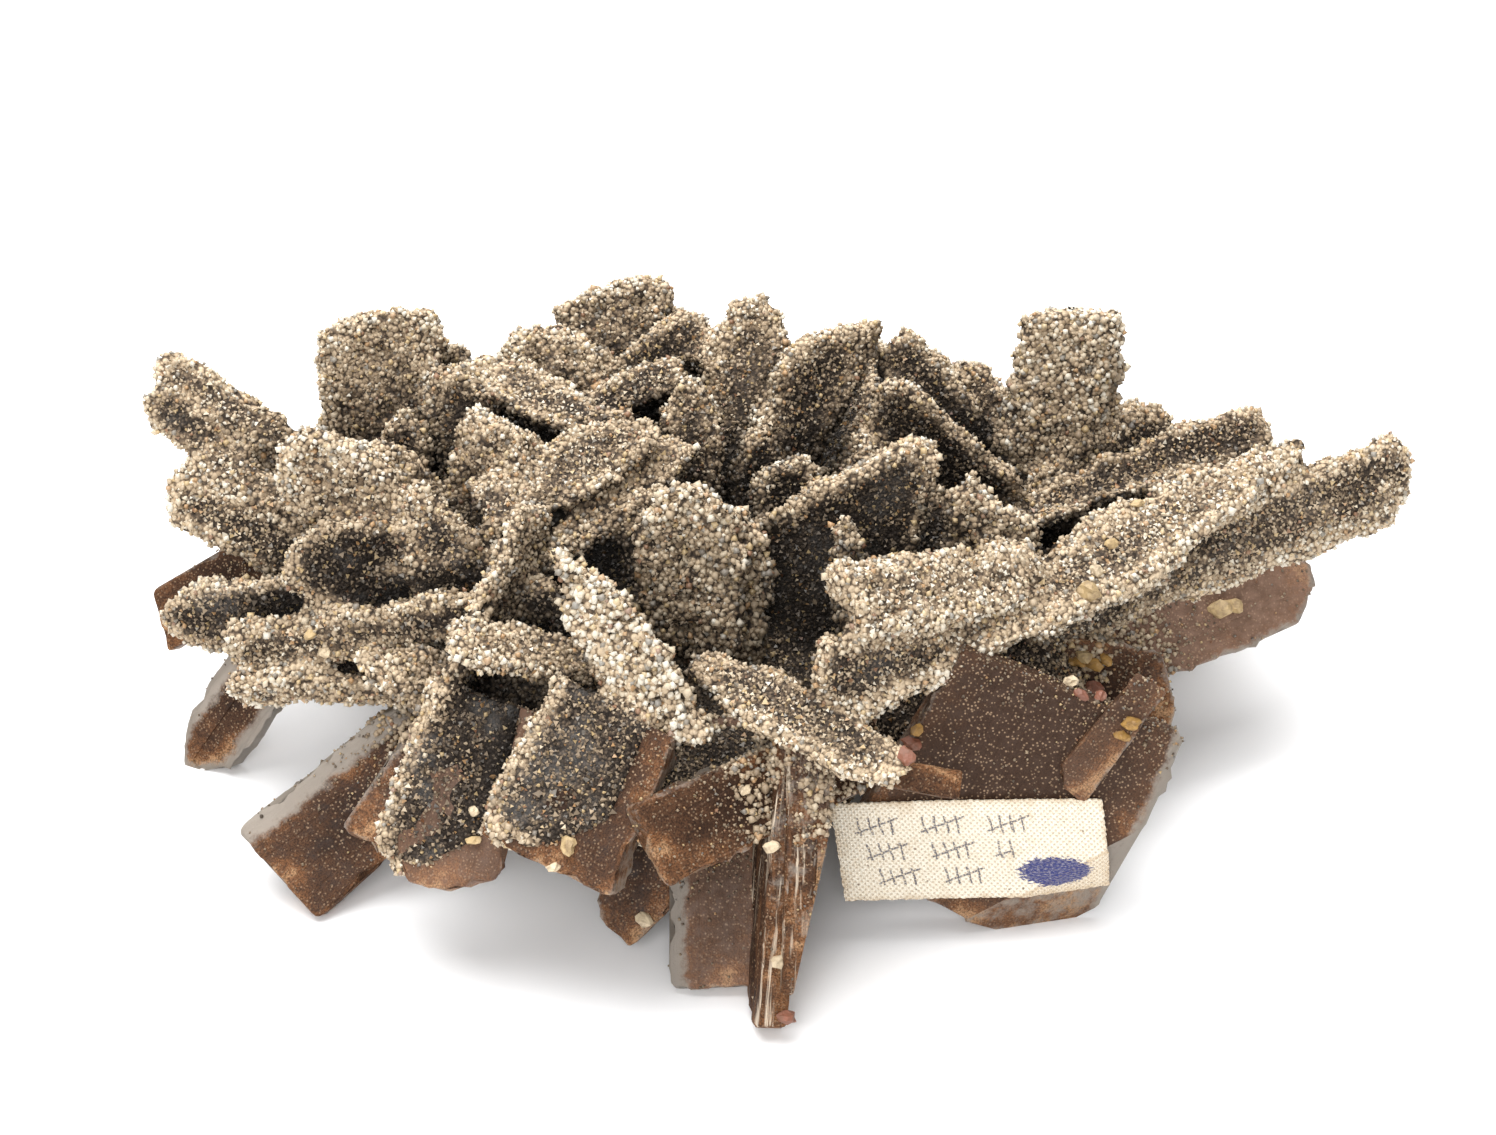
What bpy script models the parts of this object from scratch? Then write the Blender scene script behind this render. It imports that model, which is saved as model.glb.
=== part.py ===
"""A cluster of hourglass selenite: gypsum blades grown together, sand-crusted above and bare and brown
below, with a strip of cloth tape stuck to the front as a collector's label.

Lengths are millimetres, scaled to metres where the meshes are made. +X runs along the cluster's length
to the right, +Y to its back and +Z up. The origin lies on the ground under the middle of the cluster.
"""

import random
from collections import namedtuple

import bmesh
import bpy
from mathutils import Vector

MM = 0.001

# The lumps in which the blades' roots meet, each by its centre and half sizes
HEARTS = [
    ((0, -2, 18), (47, 29, 12)),
    ((-14, -4, 24), (28, 19, 11)),
    ((-14, -31, 20), (25, 12, 9)),
    ((22, -18, 24), (17, 13, 9)),
]
HEART_ROUGH = 0.12

# How the blades are cut: the rim slopes in by these shares of the thickness, and sand blurs the outline
CRUSTED_SLOPE = 0.45
BARE_SLOPE = 0.22
SAND_BLUR = 0.07
BURIED = 14.0

# A ledge, the second crystal that lies against the back of a blade
LEDGE_BACK = 0.8
LEDGE_SHORTER = 0.12
LEDGE_ASIDE = 0.22

# The broad face that the label is stuck to: a point in the middle of that crystal, and the way it looks
LABEL_BLADE_POINT = Vector((20.0, -39.0, 1.0))
LABEL_BLADE_LOOKS = Vector((0.0, -1.0, 0.25)).normalized()
LABEL_BLADE_THICK = 4.0

# The label, cut from cloth tape half an inch wide, with one corner that has let go
TAPE_WIDTH = 12.7
TAPE_LENGTH = 31.5
TAPE_THICK = 0.5
TAPE_CENTRE = Vector((22.4, -38.0, 10.3))
TAPE_RISE = 0.02
LOOSE_CORNER = (8.0, 4.5)
CORNER_LIFT = 2.2
TOUCH_GAP = 0.3

# Outlines as shares of a blade's length (1 at the tip) and of its half width (-1 to 1)
OUTLINES = {
    "round": [(0.55, -1.0), (0.86, -0.86), (0.98, -0.35), (1.0, 0.2), (0.93, 0.7), (0.74, 1.0), (0.4, 0.95)],
    "bar": [(0.4, -0.95), (0.85, -1.0), (0.97, -0.75), (1.0, -0.1), (0.95, 0.55), (0.86, 0.97), (0.4, 1.0)],
    "lance": [(0.3, -0.85), (0.58, -1.0), (0.82, -0.68), (1.0, -0.05), (0.86, 0.55), (0.6, 1.0), (0.3, 0.9)],
    "leaf": [(0.25, -0.85), (0.6, -1.0), (0.88, -0.65), (1.0, -0.1), (0.92, 0.45), (0.68, 1.0), (0.3, 0.9)],
    "rising": [(0.4, -1.0), (0.96, -1.0), (1.0, -0.85), (0.9, -0.2), (0.76, 0.55), (0.64, 1.0)],
    "falling": [(0.64, -1.0), (0.76, -0.55), (0.9, 0.2), (1.0, 0.85), (0.96, 1.0), (0.4, 1.0)],
    "plate": [(0.97, -1.0), (1.0, -0.92), (0.985, 0.94), (0.96, 1.0)],
    "skewed": [(0.84, -1.0), (0.88, -0.93), (1.0, 0.9), (0.97, 1.0)],
    "blunt": [(0.78, -1.0), (1.0, -0.35), (1.0, 0.2), (0.86, 1.0)],
    "taper": [(0.0, -0.9), (0.35, -1.0), (0.72, -0.62), (1.0, -0.25), (0.97, 0.1), (0.8, 0.35), (0.66, 0.75),
              (0.62, 0.95), (0.3, 1.0), (0.0, 0.7)],
    "spear": [(0.6, -1.0), (0.9, -0.62), (1.0, -0.05), (0.97, 0.12), (0.74, 0.96), (0.5, 1.0)],
    "keel": [(0.35, -1.0), (0.62, -1.0), (0.85, -0.55), (1.0, 0.75), (0.98, 0.95), (0.5, 1.0)],
}

# How many widths long an outline is drawn, where it isn't 2.2
HEAD_LENGTHS = {"taper": 3.2}

# A blade's tip and root at the middle of its width, the way its broad face looks, its width, its
# thickness, its outline, whether a ledge backs it, and how far its root runs on inside the cluster
Blade = namedtuple("Blade", "tip root looks width thick outline ledge buried", defaults=(0, BURIED))

CRUSTED = [
    # The left end, from the top down
    Blade((-77, 9, 49.5), (-61, 6, 39.5), (0.1, -0.6, 0.8), 5.5, 3.6, "bar", 0, 26),
    Blade((-77.5, 5, 47), (-64.5, 3, 36.5), (0.1, -0.7, 0.7), 5.5, 3.4, "bar", 0, 28),
    Blade((-72.5, 2, 40), (-61, 0, 35), (0, -0.7, 0.7), 5, 3.4, "bar", 0, 24),
    Blade((-75.5, 0, 38), (-62, -3, 30), (-0.1, -0.8, 0.6), 8, 3.6, "round", 0, 24),
    Blade((-77, -8, 22.5), (-60, -10, 26.5), (0, -1, 0.2), 9, 4.2, "leaf", 0, 24),
    Blade((-59, -4, 47.5), (-48, -8, 36), (-0.3, -0.7, 0.6), 13, 4.0, "round", 1, 20),
    Blade((-59.5, -14, 36.5), (-46, -11, 32), (0.3, -1, 0.3), 14, 3.2, "round", 0, 18),
    Blade((-47.5, -9, 39), (-36, -14, 30), (0, -0.9, 0.3), 12, 3.4, "rising", 0, 10),
    Blade((-66.5, -16, 23.5), (-43, -18, 30), (0.1, -1, 0.3), 7.5, 3.6, "bar", 0, 18),
    Blade((-66, -20, 21.5), (-46, -20, 21), (0, -1, -0.1), 5, 3.4, "bar", 0, 18),
    Blade((-50.5, -26, 31), (-33.5, -26, 25.5), (0, -0.5, 0.9), 6.5, 3.2, "leaf"),
    Blade((-45, -28, 27), (-36.5, -28, 24), (0, -0.6, 0.8), 4.5, 2.8, "lance"),
    # The back row as seen from the front, left to right
    Blade((-51, 22, 50), (-50.5, 16, 34), (0, -1, 0.4), 17.5, 4.6, "round", 1, 20),
    Blade((-41.5, 16, 46), (-39, 12, 36), (0, -1, 0.4), 11, 3.6, "round"),
    Blade((-39.5, 18, 44), (-23.5, 8, 41), (0.3, -0.5, 0.8), 8, 3.8, "leaf"),
    Blade((-47, 8, 43.5), (-46, 4, 35), (-0.1, -1, 0.3), 7, 3.4, "leaf"),
    Blade((-32.5, 27, 44.5), (-28.5, 20, 37), (0.1, -1, 0.5), 15, 4.2, "round", 1),
    Blade((-22.5, 38, 45), (-21.5, 32, 36), (0, -1, 0.3), 17.5, 4.8, "round", 1, 20),
    Blade((-9.5, 30, 44), (-20.5, 24, 37), (0.1, -1, 0.5), 7, 3.4, "bar"),
    Blade((-12, 22, 42), (-23, 16, 38), (0, -0.6, 0.8), 6.5, 3.2, "leaf"),
    Blade((-2.5, 32, 47), (-4.5, 24, 38), (0, -1, 0.3), 12.5, 4.0, "leaf", 1, 18),
    Blade((9, 27, 48), (3, 20, 37), (0.2, -1, 0.1), 12, 4.0, "rising", 0, 18),
    Blade((13.5, 28, 42), (23, 22, 33.5), (0.1, -1, 0.3), 8.5, 3.4, "bar"),
    Blade((25.5, 28, 38), (24.5, 22, 31.5), (0, -1, 0.3), 12, 3.6, "round"),
    Blade((11, 14, 42), (33, 4, 27), (-0.2, -1, -0.1), 11, 3.0, "bar"),
    Blade((36.5, 20, 51.5), (33, 12, 30), (0, -0.9, 0.5), 14.5, 4.4, "bar", 0, 18),
    # The middle
    Blade((-35.5, 2, 48), (-35, -4, 37), (-0.4, -0.8, 0.5), 11.5, 4.2, "round", 1),
    Blade((-14.5, 4, 44), (-31, -6, 40), (0, -0.5, 0.9), 10, 3.2, "leaf", 0, 6),
    Blade((-12, 2, 39), (-26.5, -10, 35.5), (0, -0.6, 0.8), 6, 3.0, "leaf", 0, 8),
    Blade((-10.5, 14, 44.5), (-11.5, 8, 34), (0, -0.9, 0.5), 9, 3.6, "round", 1),
    Blade((-10, -16, 48.5), (-11, -20, 28), (-0.2, -1, 0.3), 14, 4.0, "round", 1, 8),
    Blade((9, -6, 50), (5, -14, 24), (0, -1, 0.2), 20, 4.2, "rising", 0, 10),
    Blade((7.5, -20, 46.5), (8, -22, 37), (0, -1, 0.3), 4.6, 3.2, "lance"),
    Blade((14.5, -4, 44), (15, -10, 31), (0.1, -1, 0.3), 6, 3.4, "bar"),
    Blade((22, -10, 46), (23, -14, 33.5), (-0.1, -1, 0.4), 7.5, 3.6, "lance"),
    Blade((26.5, -12, 42.5), (27, -16, 34), (0.1, -1, 0.4), 8, 3.4, "round"),
    # The front
    Blade((-26, -28, 47), (-8, -42, 29), (-0.3, -0.7, 0.6), 10.5, 3.6, "lance", 1, 3),
    Blade((-28.5, -14, 44), (-35, -26, 32.5), (1, -0.3, 0.1), 10, 3.2, "bar", 0, 10),
    Blade((-38, -32, 37.5), (-23.5, -28, 31), (0, -0.4, 1), 7, 2.8, "bar", 0, 8),
    Blade((13.5, -46, 29.5), (-10, -32, 36), (0.2, -0.5, 0.85), 8, 3.4, "bar", 0, 8),
    Blade((6, -34, 43.5), (28.5, -22, 38.5), (-0.1, -0.7, 0.7), 10.5, 4.4, "bar", 0, 10),
    Blade((3.5, -38, 37.5), (22.5, -28, 34), (-0.1, -1, 0.3), 8.5, 3.8, "bar", 0, 10),
    Blade((-40, -46, 12.5), (-33.5, -32, 29), (-0.2, -0.8, 0.5), 15, 4.0, "blunt", 1, 10),
    Blade((-26.5, -50, 19), (-18, -38, 31.5), (-0.2, -0.8, 0.5), 16.5, 4.0, "plate", 1, 10),
    # The right end
    Blade((64.5, 3, 41.5), (20, -34, 35), (-0.3, -0.6, 0.7), 14, 4.6, "taper", 0, 6),
    Blade((9.5, -42, 33.5), (23, -34, 37.5), (-0.3, -0.6, 0.7), 4.2, 2.8, "bar", 0, 8),
    Blade((79, 6, 37), (54.5, -6, 34), (0.2, -1, 0.3), 9, 4.6, "bar", 0, 26),
    Blade((77, 3, 33.5), (53, -8, 30.5), (0.2, -1, 0.1), 7, 3.6, "bar", 0, 24),
    Blade((51.5, 20, 34.5), (40, 12, 31), (0, -1, 0.4), 9.5, 3.2, "round"),
    Blade((62.5, 15, 37), (44, 8, 33.5), (0, -0.7, 0.7), 7.5, 3.4, "bar"),
    Blade((51.5, 8, 34.5), (32, 2, 31.5), (0, 0.4, 1), 7, 2.2, "bar"),
    # Short blades in the hollow in the middle, which the front hides
    Blade((1, 6, 38.5), (1, 1, 28), (0.1, -1, 0.3), 10, 3.6, "round"),
    Blade((10, 10, 37.5), (9, 5, 27), (-0.3, -1, 0.4), 11, 3.6, "leaf"),
    Blade((-2, 16, 37), (-3, 11, 28), (0.3, -1, 0.4), 9, 3.4, "lance"),
    Blade((19, 15, 34), (16, 10, 26), (0.2, -1, 0.5), 9, 3.4, "round"),
    Blade((21, 2, 35), (17, -3, 27), (-0.2, -1, 0.5), 8, 3.4, "round"),
    Blade((-16, -4, 40), (-15, -8, 31), (0.2, -1, 0.4), 9, 3.4, "round"),
    Blade((37, -6, 32), (33, -10, 26), (0.2, -0.8, 0.6), 8, 3.4, "leaf"),
    # The back, which the front row hides
    Blade((-62, 34, 34), (-42, 20, 24), (-0.2, 0.7, 0.7), 12, 4.0, "lance", 1),
    Blade((-48, 47, 26), (-34, 28, 20), (0, 0.8, 0.6), 15, 4.2, "round", 1),
    Blade((-37, 43, 33), (-28, 26, 24), (0.2, 1, 0.6), 12, 3.8, "leaf"),
    Blade((-26, 54, 24), (-18, 32, 18), (0, 0.7, 0.7), 14, 4.2, "round", 1),
    Blade((-8, 50, 31), (-8, 30, 24), (0.1, 0.9, 0.7), 13, 4.0, "lance"),
    Blade((3, 56, 21), (0, 34, 17), (0, 0.8, 0.6), 15, 4.4, "bar", 1),
    Blade((14, 46, 31), (8, 28, 25), (-0.2, 0.9, 0.7), 12, 3.8, "round"),
    Blade((27, 52, 24), (18, 32, 18), (0.1, 0.8, 0.6), 13, 4.0, "leaf", 1),
    Blade((38, 40, 31), (26, 26, 26), (0.2, 0.8, 0.7), 12, 3.8, "falling"),
    Blade((49, 42, 23), (34, 26, 18), (0.2, 0.8, 0.6), 12, 4.0, "bar"),
    Blade((63, 30, 27), (42, 18, 22), (0.2, 0.7, 0.7), 11, 3.8, "lance", 1),
    Blade((-70, 23, 27), (-50, 13, 22), (-0.3, 0.6, 0.8), 10, 3.8, "bar"),
    Blade((71, 17, 27), (50, 9, 24), (0.2, 0.4, 0.9), 9, 3.4, "leaf"),
]

BARE = [
    # The left end and the front, left to right
    Blade((-80, 2, 14.5), (-66, 4, 23), (-0.2, -0.8, 0.5), 8, 3.0, "skewed", 0, 22),
    Blade((-75.5, -8, -1.5), (-66, -6, 12), (-0.3, -0.8, 0.5), 8.5, 2.8, "spear", 0, 24),
    Blade((-60.5, -34, 3.5), (-43, -22, 13.5), (0.1, -0.7, 0.7), 14.5, 3.6, "plate", 0, 18),
    Blade((-48.5, -41, 15.5), (-45, -36, 19), (-0.3, -0.8, 0.5), 5, 2.4, "plate", 0, 7),
    Blade((-17.5, -44, 1.5), (-16.5, -36, 15), (-0.1, -1, 0.2), 10, 3.0, "spear"),
    Blade((-15.5, -51, 23), (-1, -42, 24), (0, -0.8, 0.5), 10, 3.0, "plate"),
    Blade((-7, -50, 0.5), (-7.5, -38, 13), (-0.1, -1, 0.4), 12, 3.2, "plate"),
    # Three crystals that stand edge on to the front, the tallest with its tip on the ground
    Blade((-3, -50, -2.5), (-0.5, -35, 26), (-1, -0.2, 0), 20, 3.4, "keel", 0, 2),
    Blade((0.5, -48.5, 1), (1.5, -35, 26), (-1, -0.1, 0), 21, 3.2, "keel", 0, 2),
    Blade((3.6, -46, 7), (4.2, -35, 26), (-1, 0.1, 0), 20, 3.4, "keel", 0, 2),
    # The plate under the label, and what lies on and beside it
    Blade(LABEL_BLADE_POINT, (30, -33.5, 23), LABEL_BLADE_LOOKS, 33, LABEL_BLADE_THICK, "skewed", 0, 8),
    Blade((47, -22, 18), (31, -18, 21), (0.1, -0.9, 0.4), 15, 3.4, "blunt", 0, 8),
    Blade((22, -40.5, 22), (6, -42, 27), (0, -0.7, 0.7), 5, 2.2, "plate", 0, 6),
    Blade((67.5, 4, 21.5), (44, -6, 19), (0, -0.8, 0.5), 12, 3.4, "round", 0, 18),
    # The back and its feet
    Blade((-54, 33, 3), (-36, 20, 12), (-0.1, 0.7, 0.7), 14, 3.8, "plate"),
    Blade((-31, 47, -2.5), (-24, 28, 15), (0, 1, 0.3), 13, 3.6, "skewed"),
    Blade((-9, 50, 5), (-8, 32, 14), (0, 0.8, 0.6), 15, 3.6, "plate"),
    Blade((13, 48, -2.5), (8, 30, 15), (0.1, 1, 0.3), 13, 3.6, "blunt"),
    Blade((36, 42, 3), (26, 26, 12), (0.1, 0.8, 0.6), 14, 3.8, "plate"),
    Blade((56, 27, -2.5), (40, 14, 14), (0.3, 0.8, 0.4), 12, 3.6, "skewed"),
]


def blade_axes(blade):
    """The blade's own axes: along its length, across its width and out of its broad face."""
    along = (Vector(blade.tip) - Vector(blade.root)).normalized()
    out = Vector(blade.looks).normalized()
    out = (out - along * out.dot(along)).normalized()
    return along, out.cross(along), out


def drawn_in(outline, amount):
    """An outline made narrower and shorter by an amount at its widest and at its tip."""
    length = max(point.x for point in outline)
    half = max(abs(point.y) for point in outline)
    return [Vector((p.x * (1 - amount / length), p.y * (1 - amount / half))) for p in outline]


def blade_outline(blade, blur, rng):
    """The outline's corners, as places along and across, from the buried end round the tip and back."""
    length = (Vector(blade.tip) - Vector(blade.root)).length + blade.buried
    half = blade.width / 2
    head = min(length, HEAD_LENGTHS.get(blade.outline, 2.2) * blade.width)
    corners = [Vector((0, 0.85 * half)), Vector((0, -0.85 * half))]
    for share, side in OUTLINES[blade.outline]:
        along = length - (1 - share) * head
        shift = Vector((rng.uniform(-1, 1), rng.uniform(-1, 1))) * blur * half
        corners.append(Vector((along, side * half)) + shift)
    return corners


def make_object(name, mesh):
    data = bpy.data.meshes.new(name)
    mesh.to_mesh(data)
    mesh.free()
    made = bpy.data.objects.new(name, data)
    bpy.context.scene.collection.objects.link(made)
    return made


def make_blade(name, blade, slope, blur, rng, ledge=False):
    """A closed flat-faced crystal: full width at mid thickness, with both broad faces drawn in."""
    along, across, out = blade_axes(blade)
    start = Vector(blade.root) - along * blade.buried
    outline = blade_outline(blade, blur, rng)
    if ledge:
        aside = rng.choice((-1, 1)) * LEDGE_ASIDE * blade.width
        start += across * aside - out * LEDGE_BACK * blade.thick
        outline = [Vector((p.x * (1 - LEDGE_SHORTER), p.y * 0.9)) for p in outline]
    mesh = bmesh.new()
    rings = []
    for level, amount in ((-0.5, slope * blade.thick), (0, 0), (0.5, slope * blade.thick)):
        ring = []
        for point in drawn_in(outline, amount):
            place = start + along * point.x + across * point.y + out * level * blade.thick
            ring.append(mesh.verts.new(place * MM))
        rings.append(ring)
    mesh.faces.new(rings[0])
    mesh.faces.new(rings[-1][::-1])
    for low, high in zip(rings, rings[1:]):
        for i in range(len(low)):
            after = (i + 1) % len(low)
            mesh.faces.new((low[after], low[i], high[i], high[after]))
    bmesh.ops.recalc_face_normals(mesh, faces=mesh.faces)
    return make_object(name, mesh)


def make_heart(centre, half, rng):
    """A rough lump where roots meet."""
    mesh = bmesh.new()
    bmesh.ops.create_icosphere(mesh, subdivisions=2, radius=1)
    for vert in mesh.verts:
        size = 1 + rng.uniform(-1, 1) * HEART_ROUGH
        vert.co = Vector(c + v * h * size for c, v, h in zip(centre, vert.co, half)) * MM
    return make_object("heart", mesh)


def join_solids(target, parts, operation):
    """The target with its parts joined to it, or cut from it, by one Boolean.

    The manifold solver keeps the surface closed where a hundred crystals cross at slight angles.
    """
    group = bpy.data.collections.new("operands")
    for part in parts:
        group.objects.link(part)
    boolean = target.modifiers.new("boolean", "BOOLEAN")
    boolean.solver = "MANIFOLD"
    boolean.operation = operation
    boolean.operand_type = "COLLECTION"
    boolean.collection = group
    graph = bpy.context.evaluated_depsgraph_get()
    joined = bpy.data.meshes.new_from_object(target.evaluated_get(graph))
    target.modifiers.clear()
    target.data = joined
    bpy.data.collections.remove(group)
    for part in parts:
        bpy.data.objects.remove(part)


def keep_outer_surface(item):
    """The joined crystals without the pockets that are shut inside them."""
    mesh = bmesh.new()
    mesh.from_mesh(item.data)
    left = set(mesh.verts)
    surfaces = []
    while left:
        surface = set()
        edge_of_search = [left.pop()]
        while edge_of_search:
            vert = edge_of_search.pop()
            surface.add(vert)
            found = {edge.other_vert(vert) for edge in vert.link_edges} & left
            left -= found
            edge_of_search.extend(found)
        surfaces.append(surface)
    surfaces.sort(key=len)
    for pocket in surfaces[:-1]:
        bmesh.ops.delete(mesh, geom=list(pocket), context="VERTS")
    mesh.to_mesh(item.data)
    mesh.free()


def stand_in_the_middle(items):
    """Moves the meshes so that the middle of their whole box stands over the origin."""
    places = [vert.co for item in items for vert in item.data.vertices]
    middle = [(min(p[axis] for p in places) + max(p[axis] for p in places)) / 2 for axis in (0, 1)]
    for item in items:
        for vert in item.data.vertices:
            vert.co -= Vector((*middle, 0))


def make_ground():
    """A block whose top is the ground, which cuts the lowest tips to flat feet."""
    mesh = bmesh.new()
    bmesh.ops.create_cube(mesh, size=1)
    for vert in mesh.verts:
        vert.co = Vector((vert.co.x * 400, vert.co.y * 400, vert.co.z * 40 - 20)) * MM
    return make_object("ground", mesh)


def make_label():
    """The strip of tape on its crystal face, its lower right corner bent outward along a crease."""
    out = LABEL_BLADE_LOOKS
    right = Vector((1, 0, TAPE_RISE))
    right = (right - out * right.dot(out)).normalized()
    up = out.cross(right)
    on_middle = TAPE_CENTRE - out * (TAPE_CENTRE - LABEL_BLADE_POINT).dot(out)
    back = on_middle + out * (LABEL_BLADE_THICK / 2 + TOUCH_GAP)
    half_x, half_y = TAPE_LENGTH / 2, TAPE_WIDTH / 2
    crease_x, crease_y = LOOSE_CORNER
    flat = [(-half_x, -half_y, 0), (half_x - crease_x, -half_y, 0), (half_x, crease_y - half_y, 0),
            (half_x, half_y, 0), (-half_x, half_y, 0)]
    lifted = (half_x - 0.6, 0.4 - half_y, CORNER_LIFT)
    mesh = bmesh.new()
    layers = []
    for height in (0, TAPE_THICK):
        places = [back + right * x + up * y + out * (z + height) for x, y, z in flat + [lifted]]
        layers.append([mesh.verts.new(place * MM) for place in places])
    lower, upper = layers
    mesh.faces.new(lower[4::-1])
    mesh.faces.new(upper[:5])
    mesh.faces.new((lower[2], lower[5], lower[1]))
    mesh.faces.new((upper[1], upper[5], upper[2]))
    rim = [0, 1, 5, 2, 3, 4]
    for here, after in zip(rim, rim[1:] + rim[:1]):
        mesh.faces.new((lower[here], lower[after], upper[after], upper[here]))
    bmesh.ops.recalc_face_normals(mesh, faces=mesh.faces)
    return make_object("cloth_label", mesh)


def paint(item, name, colour, roughness):
    material = bpy.data.materials.new(name)
    material.use_nodes = True
    shader = material.node_tree.nodes["Principled BSDF"]
    shader.inputs["Base Color"].default_value = (*colour, 1)
    shader.inputs["Roughness"].default_value = roughness
    shader.inputs["Metallic"].default_value = 0
    item.data.materials.clear()
    item.data.materials.append(material)


def main():
    for old in list(bpy.data.objects):
        bpy.data.objects.remove(old)
    rng = random.Random(11)
    parts = []
    for i, blade in enumerate(CRUSTED):
        parts.append(make_blade(f"crusted_{i:02d}", blade, CRUSTED_SLOPE, SAND_BLUR, rng))
        if blade.ledge:
            parts.append(make_blade(f"ledge_{i:02d}", blade, CRUSTED_SLOPE, SAND_BLUR, rng, ledge=True))
    for i, blade in enumerate(BARE):
        parts.append(make_blade(f"bare_{i:02d}", blade, BARE_SLOPE, 0, rng))
    hearts = [make_heart(centre, half, rng) for centre, half in HEARTS]
    cluster = hearts[0]
    cluster.name = "crystal_cluster"
    parts += hearts[1:]
    join_solids(cluster, parts, "UNION")
    join_solids(cluster, [make_ground()], "DIFFERENCE")
    keep_outer_surface(cluster)
    paint(cluster, "sandy_gypsum", (0.42, 0.34, 0.26), 0.8)
    label = make_label()
    paint(label, "cloth_tape", (0.80, 0.75, 0.62), 0.9)
    stand_in_the_middle([cluster, label])


if __name__ == "__main__":
    main()
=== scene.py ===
import math
import random

import bpy
import numpy as np
from mathutils import Matrix, Vector, noise
from mathutils.bvhtree import BVHTree
from mathutils.kdtree import KDTree


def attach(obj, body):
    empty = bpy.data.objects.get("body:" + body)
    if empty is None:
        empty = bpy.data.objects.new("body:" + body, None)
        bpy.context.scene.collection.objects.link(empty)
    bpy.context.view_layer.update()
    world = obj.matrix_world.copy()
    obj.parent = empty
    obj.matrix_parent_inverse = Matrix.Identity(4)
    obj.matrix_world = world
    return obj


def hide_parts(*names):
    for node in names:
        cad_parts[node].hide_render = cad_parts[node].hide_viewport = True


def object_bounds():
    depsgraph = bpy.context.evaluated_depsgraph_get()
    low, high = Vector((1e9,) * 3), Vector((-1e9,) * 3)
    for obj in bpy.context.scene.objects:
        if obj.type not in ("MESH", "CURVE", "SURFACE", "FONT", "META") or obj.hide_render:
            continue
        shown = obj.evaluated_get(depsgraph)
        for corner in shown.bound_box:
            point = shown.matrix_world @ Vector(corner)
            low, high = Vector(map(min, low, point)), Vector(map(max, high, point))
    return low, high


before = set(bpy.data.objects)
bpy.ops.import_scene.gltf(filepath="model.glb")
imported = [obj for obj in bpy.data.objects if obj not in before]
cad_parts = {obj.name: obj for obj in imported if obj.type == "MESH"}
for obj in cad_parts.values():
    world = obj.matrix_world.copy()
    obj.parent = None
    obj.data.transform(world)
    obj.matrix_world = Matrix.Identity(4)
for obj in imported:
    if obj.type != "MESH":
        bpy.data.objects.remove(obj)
cad_low, cad_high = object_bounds()

# The bare crystals: clear gypsum blades that grew down and outward, out of the sand. They are brown where
# they took sand in as they grew, and clear along some of their edges. Each is cleaved flat with straight
# sides, and its root is lost among the sandy blades above it. Their sizes are in millimetres.

MM = 0.001
MOVED = Vector((0.41, 1.14, 0.0))
CELL = 0.9
SPARE = 1.0
SHORTEST = 0.35
SHARP = math.radians(24)
SMOOTH = math.radians(28)
RIM_BEVEL = 0.2
BEVELLED_THICK = 2.0
STEPPED_BEVEL = 0.4
NOISE_SPREAD = 90
WAVY = 0.09
WAVES = 0.22
CHIPPED = 1.0
CHIPS = 0.5
CHIP_REACH = 2.4
RIDGE_RUN = 0.03
SIDE_RIDGES = 1.9
FACE_RIDGES = 1.7
SIDE_DEPTH = 0.8
FACE_DEPTH = 0.5
SAND_FADE = 9.0

OUTLINES = {
    "round": [(0.55, -1.0), (0.86, -0.86), (0.98, -0.35), (1.0, 0.2), (0.93, 0.7), (0.74, 1.0)],
    "plate": [(0.97, -1.0), (1.0, -0.92), (0.985, 0.94), (0.96, 1.0)],
    "skewed": [(0.84, -1.0), (0.88, -0.93), (1.0, 0.9), (0.97, 1.0)],
    "blunt": [(0.78, -1.0), (1.0, -0.35), (1.0, 0.2), (0.86, 1.0)],
    "spear": [(0.6, -1.0), (0.9, -0.62), (1.0, -0.05), (0.97, 0.12), (0.74, 0.96), (0.5, 1.0)],
    "keel": [(0.35, -1.0), (0.62, -1.0), (0.85, -0.55), (1.0, 0.75), (0.98, 0.95), (0.5, 1.0)],
}
HEAD_LENGTH = 2.2
HEAD_LENGTHS = {}
ROOT_SHARE = 0.85
ROOT_SHARES = {}


def select_only(*pieces):
    """Selects these pieces alone and makes the first of them active."""
    bpy.ops.object.select_all(action="DESELECT")
    for piece in pieces:
        piece.select_set(True)
    bpy.context.view_layer.objects.active = pieces[0]


def joined(pieces, name):
    """Makes these pieces one object."""
    select_only(*pieces)
    bpy.ops.object.join()
    pieces[0].name = name
    return pieces[0]


def keep_values(mesh, name, values, kind="FLOAT"):
    """Keeps a number, or a place, for each corner of a mesh."""
    attribute = mesh.attributes.new(name, kind, "POINT")
    attribute.data.foreach_set("value" if kind == "FLOAT" else "vector", np.ravel(values))


def kept_values(mesh, name):
    values = np.zeros(len(mesh.vertices))
    mesh.attributes[name].data.foreach_get("value", values)
    return values


def put_in_order(mesh):
    """Orders a mesh's corners and faces by their places, because the cuts leave them in any order."""
    places = [tuple(vert.co) for vert in mesh.vertices]
    order = sorted(range(len(places)), key=places.__getitem__)
    rank = {old: new for new, old in enumerate(order)}
    faces = []
    for face in mesh.polygons:
        ring = [rank[corner] for corner in face.vertices]
        start = ring.index(min(ring))
        faces.append(ring[start:] + ring[:start])
    mesh.clear_geometry()
    mesh.from_pydata([places[corner] for corner in order], [], sorted(faces))


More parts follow.
